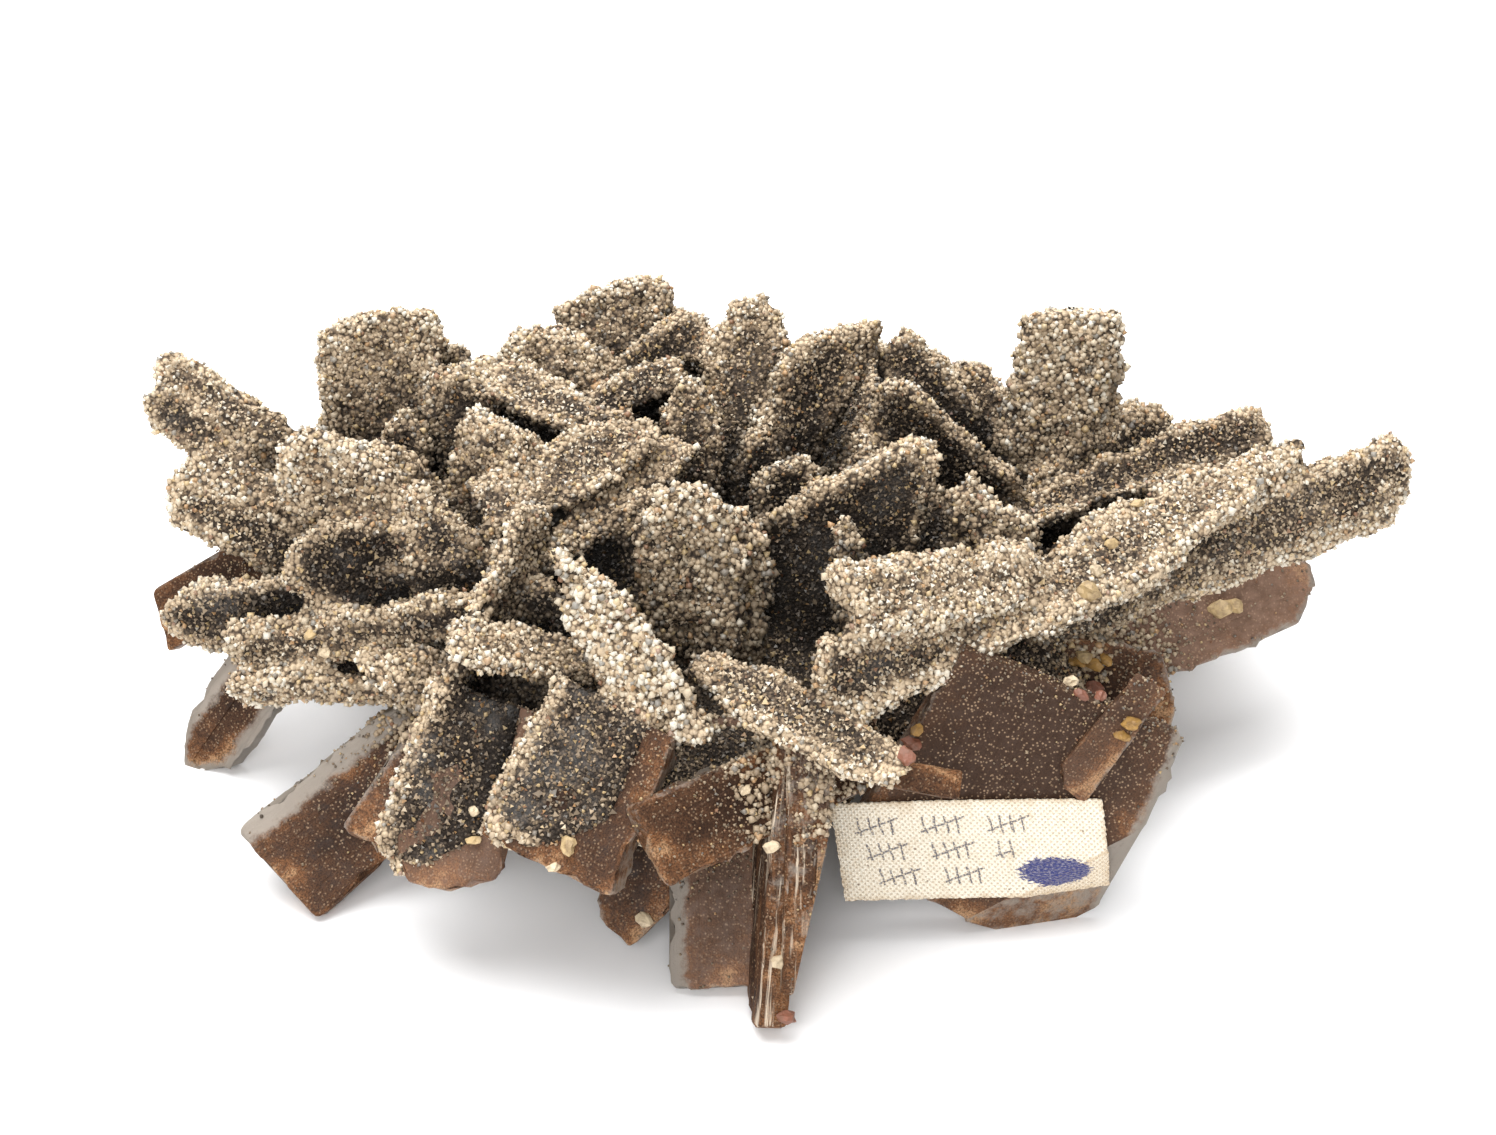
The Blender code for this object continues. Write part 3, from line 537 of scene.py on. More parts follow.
# A blade's tip, root and the way it looks, its width, thickness and outline, whether a second crystal
# backs it, how far its root runs on, and how much coarse pale sand it has. Below 0 it is dark, with little.
SANDY = [
    # The left end, from the top down
    ((-77, 9, 49.5), (-61, 6, 39.5), (0.1, -0.6, 0.8), 5.5, 3.6, "bar", 0, 26, 0.2),
    ((-77.5, 5, 47), (-64.5, 3, 36.5), (0.1, -0.7, 0.7), 5.5, 3.4, "bar", 0, 28, -0.4),
    ((-72.5, 2, 40), (-61, 0, 35), (0, -0.7, 0.7), 5, 3.4, "bar", 0, 24, 0.3),
    ((-75.5, 0, 38), (-62, -3, 30), (-0.1, -0.8, 0.6), 8, 3.6, "round", 0, 24, 0.3),
    ((-77, -8, 22.5), (-60, -10, 26.5), (0, -1, 0.2), 9, 4.2, "leaf", 0, 24, -0.5),
    ((-59, -4, 47.5), (-48, -8, 36), (-0.3, -0.7, 0.6), 13, 4.0, "round", 1, 20, 0.75),
    ((-59.5, -14, 36.5), (-46, -11, 32), (0.3, -1, 0.3), 14, 3.2, "round", 0, 18, -0.6),
    ((-47.5, -9, 39), (-36, -14, 30), (0, -0.9, 0.3), 12, 3.4, "rising", 0, 10, -0.3),
    ((-66.5, -16, 23.5), (-43, -18, 30), (0.1, -1, 0.3), 7.5, 3.6, "bar", 0, 18, 0.3),
    ((-66, -20, 21.5), (-46, -20, 21), (0, -1, -0.1), 5, 3.4, "bar", 0, 18, 0.3),
    ((-50.5, -26, 31), (-33.5, -26, 25.5), (0, -0.5, 0.9), 6.5, 3.2, "leaf", 0, 14, 0.75),
    ((-45, -28, 27), (-36.5, -28, 24), (0, -0.6, 0.8), 4.5, 2.8, "lance", 0, 14, 0.8),
    # The back row as seen from the front, left to right
    ((-51, 22, 50), (-50.5, 16, 34), (0, -1, 0.4), 17.0, 4.6, "block", 1, 20, 0.75),
    ((-41.5, 16, 46), (-39, 12, 36), (0, -1, 0.4), 11, 3.6, "round", 0, 14, 0.5),
    ((-39.5, 18, 44), (-23.5, 8, 41), (0.3, -0.5, 0.8), 8, 3.8, "leaf", 0, 14, 0.4),
    ((-47, 8, 43.5), (-46, 4, 35), (-0.1, -1, 0.3), 7, 3.4, "leaf", 0, 14, 0.12),
    ((-32.5, 27, 44.5), (-28.5, 20, 37), (0.1, -1, 0.5), 15, 4.2, "round", 1, 14, 0.7),
    ((-22.5, 38, 45), (-21.5, 32, 36), (0, -1, 0.3), 16.5, 4.8, "block", 1, 20, 0.6),
    ((-9.5, 30, 44), (-20.5, 24, 37), (0.1, -1, 0.5), 7, 3.4, "bar", 0, 14, 0.12),
    ((-12, 22, 42), (-23, 16, 38), (0, -0.6, 0.8), 6.5, 3.2, "leaf", 0, 14, 0.12),
    ((-2.5, 32, 47), (-4.5, 24, 38), (0, -1, 0.3), 12.5, 4.0, "leaf", 1, 18, 0.45),
    ((9, 27, 48), (3, 20, 37), (0.2, -1, 0.1), 12, 4.0, "rising", 0, 18, 0.3),
    ((13.5, 28, 42), (23, 22, 33.5), (0.1, -1, 0.3), 8.5, 3.4, "bar", 0, 14, 0.12),
    ((25.5, 28, 38), (24.5, 22, 31.5), (0, -1, 0.3), 12, 3.6, "round", 0, 14, 0.12),
    ((11, 14, 42), (33, 4, 27), (-0.2, -1, -0.1), 11, 3.0, "bar", 0, 14, 0.12),
    ((37, 20, 51.5), (33.5, 12, 30), (0, -0.9, 0.5), 13.2, 4.4, "block", 1, 18, 1.0),
    # The middle
    ((-35.5, 2, 48), (-35, -4, 37), (-0.4, -0.8, 0.5), 11.5, 4.2, "round", 1, 14, 0.6),
    ((-14.5, 4, 44), (-31, -6, 40), (0, -0.5, 0.9), 10, 3.2, "leaf", 0, 6, 0.4),
    ((-12, 2, 39), (-26.5, -10, 35.5), (0, -0.6, 0.8), 6, 3.0, "leaf", 0, 8, 0.8),
    ((-10.5, 14, 44.5), (-11.5, 8, 34), (0, -0.9, 0.5), 9, 3.6, "round", 1, 14, 0.6),
    ((-10, -16, 48.5), (-11, -20, 28), (-0.2, -1, 0.3), 14, 4.0, "round", 1, 8, 0.85),
    ((9, -6, 50), (5, -14, 24), (0, -1, 0.2), 20, 4.2, "rising", 0, 10, -0.3),
    ((7.5, -20, 46.5), (8, -22, 37), (0, -1, 0.3), 4.6, 3.2, "lance", 0, 14, 0.8),
    ((14.5, -4, 44), (15, -10, 31), (0.1, -1, 0.3), 6, 3.4, "bar", 0, 14, 0.6),
    ((22, -10, 46), (23, -14, 33.5), (-0.1, -1, 0.4), 7.5, 3.6, "lance", 0, 14, 0.95),
    ((26.5, -12, 42.5), (27, -16, 34), (0.1, -1, 0.4), 8, 3.4, "round", 0, 14, 0.9),
    # The front
    ((-26.6, -28, 47), (-9, -41.5, 29.5), (-0.3, -0.7, 0.6), 9.4, 3.6, "lens", 0, 0, 1.0),
    ((-28.5, -14, 44), (-35, -26, 32.5), (1, -0.3, 0.1), 10, 3.2, "bar", 0, 10, 0.75),
    ((-38, -32, 37.5), (-23.5, -28, 31), (0, -0.4, 1), 7, 2.8, "bar", 0, 8, 0.5),
    ((13.5, -46, 29.5), (-10.5, -33, 35.5), (0.2, -0.5, 0.85), 8.4, 3.0, "tongue", 0, 0, 0.0),
    ((6, -34, 44), (26, -22, 39), (-0.1, -0.7, 0.7), 9.5, 4.4, "block", 0, 4, 0.55),
    ((3.5, -38.5, 37), (20, -28.5, 34), (-0.1, -1, 0.3), 9, 3.4, "block", 0, 6, -0.5),
    # The right end
    ((64.5, 3, 42), (9.5, -37, 32), (-0.3, -0.6, 0.7), 11.5, 4.2, "taper", 0, 3, 0.5),
    ((79, 6, 37), (54.5, -6, 34), (0.2, -1, 0.3), 9, 4.6, "bar", 0, 26, -0.12),
    ((77, 3, 33.5), (53, -8, 30.5), (0.2, -1, 0.1), 7, 3.6, "bar", 0, 24, -0.15),
    ((51.5, 20, 34.5), (40, 12, 31), (0, -1, 0.4), 9.5, 3.2, "round", 0, 14, 0.3),
    ((62.5, 15, 37), (44, 8, 33.5), (0, -0.7, 0.7), 7.5, 3.4, "bar", 0, 14, 0.12),
    ((51.5, 8, 34.5), (32, 2, 31.5), (0, 0.4, 1), 7, 2.2, "bar", 0, 14, 0.12),
    # Short blades in the hollow in the middle, which the front hides
    ((1, 6, 38.5), (1, 1, 28), (0.1, -1, 0.3), 10, 3.6, "round", 0, 14, 0.12),
    ((10, 10, 37.5), (9, 5, 27), (-0.3, -1, 0.4), 11, 3.6, "leaf", 0, 14, 0.12),
    ((-2, 16, 37), (-3, 11, 28), (0.3, -1, 0.4), 9, 3.4, "lance", 0, 14, 0.12),
    ((19, 15, 34), (16, 10, 26), (0.2, -1, 0.5), 9, 3.4, "round", 0, 14, 0.12),
    ((21, 2, 35), (17, -3, 27), (-0.2, -1, 0.5), 8, 3.4, "round", 0, 14, 0.12),
    ((-16, -4, 40), (-15, -8, 31), (0.2, -1, 0.4), 9, 3.4, "round", 0, 14, 0.12),
    ((12, 12, 38), (10, 7, 28), (0.2, -1, 0.4), 8, 3.4, "round", 0, 14, 0.1),
    ((-58, -9, 15.5), (-46, -9, 16.5), (0, -1, 0.3), 10, 3.4, "round", 0, 12, -0.3),
    ((37, -6, 32), (33, -10, 26), (0.2, -0.8, 0.6), 8, 3.4, "leaf", 0, 14, 0.12),
    # The back, which the front row hides
    ((-62, 34, 34), (-42, 20, 24), (-0.2, 0.7, 0.7), 12, 4.0, "lance", 1, 14, 0.3),
    ((-48, 47, 26), (-34, 28, 20), (0, 0.8, 0.6), 15, 4.2, "round", 1, 14, 0.3),
    ((-37, 43, 33), (-28, 26, 24), (0.2, 1, 0.6), 12, 3.8, "leaf", 0, 14, 0.12),
    ((-26, 54, 24), (-18, 32, 18), (0, 0.7, 0.7), 14, 4.2, "round", 1, 14, 0.3),
    ((-8, 50, 31), (-8, 30, 24), (0.1, 0.9, 0.7), 13, 4.0, "lance", 0, 14, 0.12),
    ((3, 56, 21), (0, 34, 17), (0, 0.8, 0.6), 15, 4.4, "bar", 1, 14, 0.3),
    ((14, 46, 31), (8, 28, 25), (-0.2, 0.9, 0.7), 12, 3.8, "round", 0, 14, 0.12),
    ((27, 52, 24), (18, 32, 18), (0.1, 0.8, 0.6), 13, 4.0, "leaf", 1, 14, 0.3),
    ((38, 40, 31), (26, 26, 26), (0.2, 0.8, 0.7), 12, 3.8, "falling", 0, 14, 0.12),
    ((49, 42, 23), (34, 26, 18), (0.2, 0.8, 0.6), 12, 4.0, "bar", 0, 14, 0.12),
    ((63, 30, 27), (42, 18, 22), (0.2, 0.7, 0.7), 11, 3.8, "lance", 1, 14, 0.3),
    ((-70, 23, 27), (-50, 13, 22), (-0.3, 0.6, 0.8), 10, 3.8, "bar", 0, 14, 0.12),
    ((71, 17, 27), (50, 9, 24), (0.2, 0.4, 0.9), 9, 3.4, "leaf", 0, 14, 0.12),
    # The sand on two crystals of the front that are bare on their lower right
    ((-41.2, -46.0, 13.2), (-34.6, -32.2, 29.9), (-0.2, -0.8, 0.5), 13.5, 4.9, "left_crust", 0, 0, -0.6),
    ((-28.6, -49.6, 20.0), (-20.2, -38.0, 32.5), (-0.2, -0.8, 0.5), 14, 4.9, "left_crust", 0, 1, -0.6),
]
HEARTS = [
    ((0, -2, 16), (46, 28, 10)),
    ((-14, -4, 20), (27, 18, 10)),
    ((-14, -31, 17), (24, 11, 7)),
    ((22, -18, 20), (16, 12, 8)),
]
HEART_KNOB = 6
HEART_ROUGH = 1.6

sandy_rng = random.Random(11)
noise.seed_set(WARP_SEED)
sandy_blades = []


def crust(tip, root, looks, width, thick, outline, buried, pale, shorter=0.0, aside=0.0, back=0.0):
    """One sandy blade, swollen along its rim and dished on its faces."""
    length = (Vector(tip) - Vector(root)).length + buried
    blade, corners = cut_slab(outline, length * (1 - shorter), width, thick * THINNER, SANDY_CELL, 2)
    mesh = blade.data
    seed = Vector([sandy_rng.uniform(-NOISE_SPREAD, NOISE_SPREAD) for _ in range(3)])
    count = len(mesh.vertices)
    rims, pales = np.zeros(count), np.zeros(count)
    blade_tone = sandy_rng.uniform(-0.1, 0.1)
    rim_width = min(RIM_WIDTHS[1], max(RIM_WIDTHS[0], RIM_SHARE * width + RIM_MORE))
    sides = list(zip(corners, corners[1:]))
    for i, vert in enumerate(mesh.vertices):
        x, y, z = vert.co
        inside = max(0.0, min(side_distance(x, y, *side) for side in sides))
        rim = max(0.0, 1 - inside / rim_width)
        if outline in ONE_SIDED:
            rim *= min(1.0, max(0.0, 0.6 - 2 * y / width))
        rims[i] = min(1.0, rim * 1.5)
        pales[i] = pale + blade_tone
        dish = min(1.0, max(0.0, inside - EDGE_REACH) / DISH_REACH)
        swell = EDGE_THICK + EDGE_SWELL * min(1.0, inside / EDGE_REACH) - DISHED * min(1, 1 - pale) * dish
        warp = noise.noise_vector(Vector((x, y, 0)) / WARP_SIZE + seed) * WARP * (0.3 + rim)
        vert.co = (x + warp.x, y + warp.y + aside * width, z * swell + warp.z * 0.4 - back * thick)
    keep_values(mesh, "rim", rims)
    keep_values(mesh, "pale", pales)
    stand_slab(blade, tip, root, looks, buried)
    sandy_blades.append(blade)


for tip, root, looks, width, thick, outline, ledge, buried, pale in SANDY:
    crust(tip, root, looks, width, thick, outline, buried, pale)
    if ledge:
        crust(tip, root, looks, width * 0.9, thick, outline, buried, pale, LEDGE_SHORTER,
              sandy_rng.choice((-1, 1)) * LEDGE_ASIDE, LEDGE_BACK)
for centre, half in HEARTS:
    bpy.ops.object.select_all(action="DESELECT")
    bpy.ops.mesh.primitive_ico_sphere_add(subdivisions=5, radius=1)
    heart = bpy.context.object
    heart.scale = half
    heart.location = Vector(centre) + MOVED
    bpy.ops.object.transform_apply()
    for vert in heart.data.vertices:
        vert.co += vert.normal * noise.noise(vert.co / HEART_KNOB) * HEART_ROUGH
    sandy_blades.append(heart)
skin = joined(sandy_blades, "sandy_blades")


def mesh_arrays(mesh):
    """The places, normals and edges of a mesh."""
    places = np.zeros(len(mesh.vertices) * 3)
    mesh.vertices.foreach_get("co", places)
    normals = np.zeros(len(mesh.vertices) * 3)
    mesh.vertices.foreach_get("normal", normals)
    edges = np.zeros(len(mesh.edges) * 2, np.int32)
    mesh.edges.foreach_get("vertices", edges)
    return places.reshape(-1, 3), normals.reshape(-1, 3), edges.reshape(-1, 2)


def evened(values, edges, rounds):
    """Values spread over the neighbours of each vertex, again and again."""
    near = np.bincount(edges.ravel(), minlength=len(values))
    for _ in range(rounds):
        columns = []
        for column in values.reshape(len(values), -1).T:
            total = np.bincount(edges[:, 0], weights=column[edges[:, 1]], minlength=len(values))
            total += np.bincount(edges[:, 1], weights=column[edges[:, 0]], minlength=len(values))
            columns.append(total / np.maximum(near, 1))
        values = np.array(columns).T
    return values


def eased(values, low, high):
    share = np.clip((values - low) / (high - low), 0, 1)
    return share * share * (3 - 2 * share)


def cloudy(places, size, seed):
    """Smooth noise from -1 to 1 at each place."""
    shift = Vector((seed * 17.3, seed * 5.1, seed * 29.7))
    return np.array([noise.noise(Vector(place) / size + shift) for place in places])


def knobbed(places, size, seed):
    """Round knobs of this size, one against the next, from about -0.5 to 0.5."""
    shift = Vector((seed * 11.9, seed * 23.3, seed * 7.7))
    return np.array([0.5 - noise.voronoi(Vector(place) / size + shift)[0][0] for place in places])


# All are made one skin, which keeps what it was told of each blade's rim and sand
slab_places, _, _ = mesh_arrays(skin.data)
slab_rim, slab_pale = kept_values(skin.data, "rim"), kept_values(skin.data, "pale")
nearest = KDTree(len(slab_places))
for i, place in enumerate(slab_places):
    nearest.insert(place, i)
nearest.balance()
remesh = skin.modifiers.new("remesh", "REMESH")
remesh.mode = "VOXEL"
remesh.voxel_size = VOXEL / MM
bpy.ops.object.modifier_apply(modifier="remesh")


def told(places, edges, rounds):
    """The rim, the pale sand and the dark sand of the blade that each place lies on."""
    found = np.array([nearest.find(place)[1] for place in places])
    rim = np.clip(evened(slab_rim[found], edges, rounds).ravel(), 0, 1)
    pale = evened(slab_pale[found], edges, rounds).ravel()
    return rim, np.clip(pale, 0, 1), np.clip(-pale, 0, 1) * (1 - 0.75 * rim)


places, normals, edges = mesh_arrays(skin.data)
rim, pale, dark = told(places, edges, 3)
knobs = knobbed(places, RIM_KNOB, 1)
small_knobs = knobbed(places, FACE_KNOB, 2)
height = (-SUNK + small_knobs * FACE_KNOB_HEIGHT * (0.35 + rim + 0.6 * pale)
          + knobs * RIM_KNOB_HEIGHT * (0.10 + rim)
          + rim * NOTCH_DEPTH * np.minimum(cloudy(places, NOTCH, 3) + 0.05, 0.06)
          - pale * PIT_DEPTH * eased(cloudy(places, PIT, 6), 0.12, 0.5))
places = places + normals * height[:, None]
places[:, 2] = np.maximum(places[:, 2], LOWEST)
places = np.clip(places, np.array(cad_low) / MM, np.array(cad_high) / MM)
skin.data.vertices.foreach_set("co", places.ravel())
skin.data.update()
thinned = skin.modifiers.new("thinned", "DECIMATE")
thinned.ratio = SKIN_TRIANGLES / (2 * len(skin.data.polygons))
bpy.ops.object.modifier_apply(modifier="thinned")
places, normals, edges = mesh_arrays(skin.data)
rim, pale, dark = told(places, edges, 2)
skin.data.vertices.foreach_set("co", (places * MM).ravel())
skin.data.update()

# How open each spot of the skin is to the sky, from 0 in the depths to 1. Where it is low, the skin and the
# grains take painted shade.
SKY_RAYS = 12
SKY_START = 0.3
SKY_REACH = 0.05
LEAN_OUT = 1.01
sky_rng = np.random.default_rng(3)
places, normals, edges = mesh_arrays(skin.data)
places = places / MM
tree = BVHTree.FromObject(skin, bpy.context.evaluated_depsgraph_get())
sky = np.zeros(len(places))
for i, (place, normal) in enumerate(zip(places, normals)):
    start = Vector((place + normal * SKY_START) * MM)
    turns = sky_rng.normal(size=(SKY_RAYS, 3))
    turns /= np.linalg.norm(turns, axis=1)[:, None]
    rays = [tree.ray_cast(start, Vector(turn), SKY_REACH)[0] for turn in turns + normal * LEAN_OUT]
    sky[i] = rays.count(None) / SKY_RAYS
# It is lowered where the sand is dark, so that the dark sand takes more of the painted shade.
sky = evened(sky, edges, 3).ravel() * (1 - 0.65 * dark)
coarse = np.clip(rim + 0.85 * pale, 0, 1)
keep_values(skin.data, "sky", sky)
keep_values(skin.data, "coarse", coarse)
keep_values(skin.data, "dark", dark)

GREY_GLASS = (0.070, 0.068, 0.066)
DEEP_SHADE = (0.006, 0.005, 0.004)
fine_sand = Finish("fine_sand_skin")
where = fine_sand.node("ShaderNodeTexCoord", output=3)
skin_coarse = fine_sand.attribute("coarse")
skin_sky = fine_sand.attribute("sky")
patch = fine_sand.noise(where, 150, 3, 0.6)


def sand_cells(scale):
    """How far each point is from the middle of its grain, and a tone for each grain."""
    cell = {"Vector": where, "Scale": scale}
    away = fine_sand.node("ShaderNodeTexVoronoi", {"feature": "F1"}, cell)
    tint = fine_sand.node("ShaderNodeTexVoronoi", {"feature": "F1"}, cell, output=1)
    return away, fine_sand.node("ShaderNodeSeparateColor", None, {"Color": tint})


face_away, face_tone = sand_cells(2900.0)
rim_away, rim_tone = sand_cells(1500.0)
packed = skin_coarse.ramp_up(0.25, 0.75)
# Painted light and shade: open spots of the skin are painted lighter, closed ones darker, and the deepest
# are painted with the deep shade.
painted_light_by_openness = (skin_sky - 0.6) * 0.55
# Painted shade between the grains: each grain of the skin is painted darker towards its edge, most of all
# on the packed rims.
face_light = face_tone * 0.50 + (patch - 0.5) * 0.5 + painted_light_by_openness + 0.10 - face_away * 0.35
rim_light = rim_tone * 0.36 + (patch - 0.5) * 0.4 + painted_light_by_openness + 0.58 - rim_away.ramp_up(0.42, 0.75) * 0.45
light_share = face_light + (rim_light - face_light) * packed
skin_colour = fine_sand.colours(light_share.clamped(), [
    (0.0, (0.014, 0.010, 0.0075)), (0.30, (0.048, 0.036, 0.027)), (0.50, (0.118, 0.085, 0.058)),
    (0.72, (0.31, 0.228, 0.148)), (1.0, (0.62, 0.49, 0.34))])
glass_share = (fine_sand.attribute("dark") * 1.4).clamped() * patch.ramp_up(0.50, 0.66)
skin_colour = fine_sand.mixed(glass_share * 0.7, skin_colour, GREY_GLASS)
skin_colour = fine_sand.mixed(skin_sky.ramp_down(0.05, 0.60) * 0.95, skin_colour, DEEP_SHADE)
grain_height = (1 - face_away) * 0.45 * (1 - packed) + (1 - rim_away) * packed
fine_sand_skin = fine_sand.shown(fine_sand.node("ShaderNodeBsdfPrincipled", None, {
    "Base Color": skin_colour, "Roughness": 0.7 - glass_share * 0.35, "Specular IOR Level": 0.12,
    "Coat Weight": glass_share * 0.25, "Coat Roughness": 0.25,
    "Normal": fine_sand.bump(grain_height, 0.5 * MM)}))
skin.data.materials.clear()
skin.data.materials.append(fine_sand_skin)
select_only(skin)
bpy.ops.object.shade_smooth()
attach(skin, "root")
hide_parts("crystal_cluster")

# The sand: quartz grains about as big as those of beach sand, cemented by the gypsum one against the
# next. Most are cream or tan, some amber, rusty or grey. They are larger and packed on the rims, and
# smaller on the broad faces, where the dark skin shows between them.

SMALL_GRAINS = 112000
LARGE_GRAINS = 62000
TRIANGLES_IN_PIECE = 190000
SMALL_RADIUS = 0.215
SMALL_LIMITS = (0.12, 0.4)
SMALL_APART = 0.40
SMALL_SPARE = 1.5
LARGE_RADIUS = 0.345
LARGE_LIMITS = (0.14, 0.7)
LARGE_APART = 0.55
LARGE_SPARE = 1.4
BARE_FACING = -0.1
BARE_DENSITY = 3.0
ON_BARE = 0.68
TONES = (0.02, 0.98)
GRAIN_SHADE = (0.012, 0.009, 0.007)
grain_rng = np.random.default_rng(8)


def in_order(corners, places):
    """The triangles of a mesh, in an order that comes from their places alone."""
    rank = np.argsort(np.lexsort(np.round(places / MM, 3).T))
    turns = rank[corners].argmin(axis=1)[:, None] + np.arange(3)
    corners = np.take_along_axis(corners, turns % 3, axis=1)
    return corners[np.lexsort(rank[corners].T)]


def on_surface(mesh, amount, weight):
    """Random spots on a mesh, more where its corners weigh more, with the corners they lie between."""
    mesh.calc_loop_triangles()
    corners = np.zeros(len(mesh.loop_triangles) * 3, np.int32)
    mesh.loop_triangles.foreach_get("vertices", corners)
    spots, _, _ = mesh_arrays(mesh)
    corners = in_order(corners.reshape(-1, 3), spots)
    spots = spots[corners] / MM
    across = np.cross(spots[:, 1] - spots[:, 0], spots[:, 2] - spots[:, 0])
    areas = np.linalg.norm(across, axis=1) / 2
    wanted = areas * weight[corners].mean(axis=1)
    if amount:
        wanted *= amount / wanted.sum()
    picked = np.repeat(np.arange(len(corners)), grain_rng.poisson(wanted))
    shares = grain_rng.dirichlet((1, 1, 1), len(picked))
    found = np.einsum("ij,ijk->ik", shares, spots[picked])
    return found, across[picked] / (2 * areas[picked, None] + 1e-9), corners[picked], shares


def apart(spots, spacing):
    """Which spots to keep so that each cell of a grid holds one at most."""
    cells = np.floor(spots / spacing).astype(np.int64)
    keys = (cells[:, 0] * 4001 + cells[:, 1]) * 4001 + cells[:, 2]
    return np.unique(keys, return_index=True)[1]


def spread(mesh, amount, spare, weight, spacing):
    """Up to this many random spots on a mesh, picked from more and kept apart."""
    spots, across, corners, shares = on_surface(mesh, amount * spare, weight)
    kept = grain_rng.permutation(apart(spots, spacing))[:amount]
    return spots[kept], across[kept], corners[kept], shares[kept]


def turned(rng, amount):
    """Random turns, as matrices."""
    w, x, y, z = rng.normal(size=(4, amount))
    length = np.sqrt(w * w + x * x + y * y + z * z)
    w, x, y, z = w / length, x / length, y / length, z / length
    return np.array([
        [1 - 2 * (y * y + z * z), 2 * (x * y - z * w), 2 * (x * z + y * w)],
        [2 * (x * y + z * w), 1 - 2 * (x * x + z * z), 2 * (y * z - x * w)],
        [2 * (x * z - y * w), 2 * (y * z + x * w), 1 - 2 * (x * x + y * y)]]).transpose(2, 0, 1)


def at_spots(values, corners, shares):
    return np.einsum("ij,ij->i", shares, values[corners])


OCTAHEDRON = np.array([(1, 0, 0), (-1, 0, 0), (0, 1, 0), (0, -1, 0), (0, 0, 1), (0, 0, -1)], float)
OCTAHEDRON_FACES = np.array([(0, 2, 4), (2, 1, 4), (1, 3, 4), (3, 0, 4),
                             (2, 0, 5), (1, 2, 5), (3, 1, 5), (0, 3, 5)], np.int32)
TETRAHEDRON = np.array([(1, 1, 1), (-1, -1, 1), (-1, 1, -1), (1, -1, -1)], float) * 0.72
TETRAHEDRON_FACES = np.array([(0, 2, 1), (0, 1, 3), (0, 3, 2), (1, 2, 3)], np.int32)

sand = Finish("quartz_sand")
sand_tone = sand.attribute("tone")
sand_kind = sand.attribute("kind")
common = sand.colours(sand_tone, [
    (0.0, (0.032, 0.023, 0.016)), (0.20, (0.095, 0.069, 0.047)), (0.38, (0.225, 0.165, 0.108)),
    (0.56, (0.41, 0.305, 0.198)), (0.74, (0.58, 0.455, 0.310)), (0.90, (0.75, 0.635, 0.47)),
    (1.0, (0.90, 0.84, 0.72))])
rare = sand.colours(sand_kind, [
    (0.0, (0.27, 0.11, 0.05)), (0.016, (0.52, 0.29, 0.12)), (0.06, (0.66, 0.48, 0.24)),
    (0.13, (0.22, 0.205, 0.185))], "CONSTANT")
is_rare = 1 - sand_kind.ramp_up(0.219, 0.221)
sand_colour = sand.mixed(is_rare * 0.75, common, rare)
sand_colour = sand.mixed(sand.attribute("sky").ramp_down(0.05, 0.68) * 0.92, sand_colour, GRAIN_SHADE)
quartz_sand = sand.shown(sand.node("ShaderNodeBsdfPrincipled", None, {
    "Base Color": sand_colour, "Roughness": 0.35 + sand_kind * 0.35, "IOR": 1.54, "Specular IOR Level": 0.3,
    "Transmission Weight": 0.3}))
sand_pieces = []


def lay_sand(centres, radii, tones_and_shade, skies, form, form_faces, smooth):
    """Grains of one form, each turned and worn in its own way, joined into a few pieces."""
    count = len(centres)
    shapes = form[None] * grain_rng.uniform(0.75, 1.25, (count, len(form), 1))
    shapes = np.einsum("nij,nvj->nvi", turned(grain_rng, count), shapes) * radii[:, None, None]
    verts = np.clip((centres[:, None] + shapes) * MM, np.array(cad_low), np.array(cad_high))
    kinds = grain_rng.random(count)
    in_piece = TRIANGLES_IN_PIECE // len(form_faces)
    for first in range(0, count, in_piece):
        last = min(count, first + in_piece)
        faces = form_faces[None] + len(form) * np.arange(last - first, dtype=np.int32)[:, None, None]
        mesh = bpy.data.meshes.new("sand")
        mesh.vertices.add((last - first) * len(form))
        mesh.vertices.foreach_set("co", verts[first:last].ravel())
        mesh.loops.add(faces.size)
        mesh.loops.foreach_set("vertex_index", faces.ravel())
        mesh.polygons.add(faces.size // 3)
        mesh.polygons.foreach_set("loop_start", np.arange(0, faces.size, 3, dtype=np.int32))
        mesh.polygons.foreach_set("use_smooth", np.full(faces.size // 3, smooth))
        mesh.update(calc_edges=True)
        for name, values in (("tone", tones_and_shade), ("kind", kinds), ("sky", skies)):
            keep_values(mesh, name, np.repeat(values[first:last], len(form)))
        grains = bpy.data.objects.new(f"sand_{len(sand_pieces) + 1}", mesh)
        sand_pieces.append(grains)
        bpy.context.scene.collection.objects.link(grains)
        mesh.materials.append(quartz_sand)
        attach(grains, "root")


seen_share = np.where(sky < 0.01, 0.0, 0.15 + 0.85 * eased(sky, 0.02, 0.22))

# Small grains on the broad faces
small_share = seen_share * (1.0 - 0.8 * coarse) * (1 - 0.4 * dark)
spots, across, corners, shares = spread(skin.data, SMALL_GRAINS, SMALL_SPARE, small_share, SMALL_APART)
spot_coarse, spot_sky = at_spots(coarse, corners, shares), at_spots(sky, corners, shares)
spot_dark = at_spots(dark, corners, shares)
radii = np.clip(SMALL_RADIUS * np.exp(grain_rng.normal(0, 0.25, len(spots))), *SMALL_LIMITS)
# Their tone is their own, with painted light and shade: lighter where the skin is open to the sky, darker
# in the depths.
tones_and_shade = (grain_rng.normal(0.45, 0.14, len(spots)) + spot_coarse * 0.30 + (spot_sky - 0.6) * 0.7
         + cloudy(spots, 9.0, 5) * 0.16 - spot_dark * 0.12)
lay_sand(spots + across * (radii * 0.25)[:, None], radii, np.clip(tones_and_shade, *TONES), spot_sky,
         TETRAHEDRON, TETRAHEDRON_FACES, False)

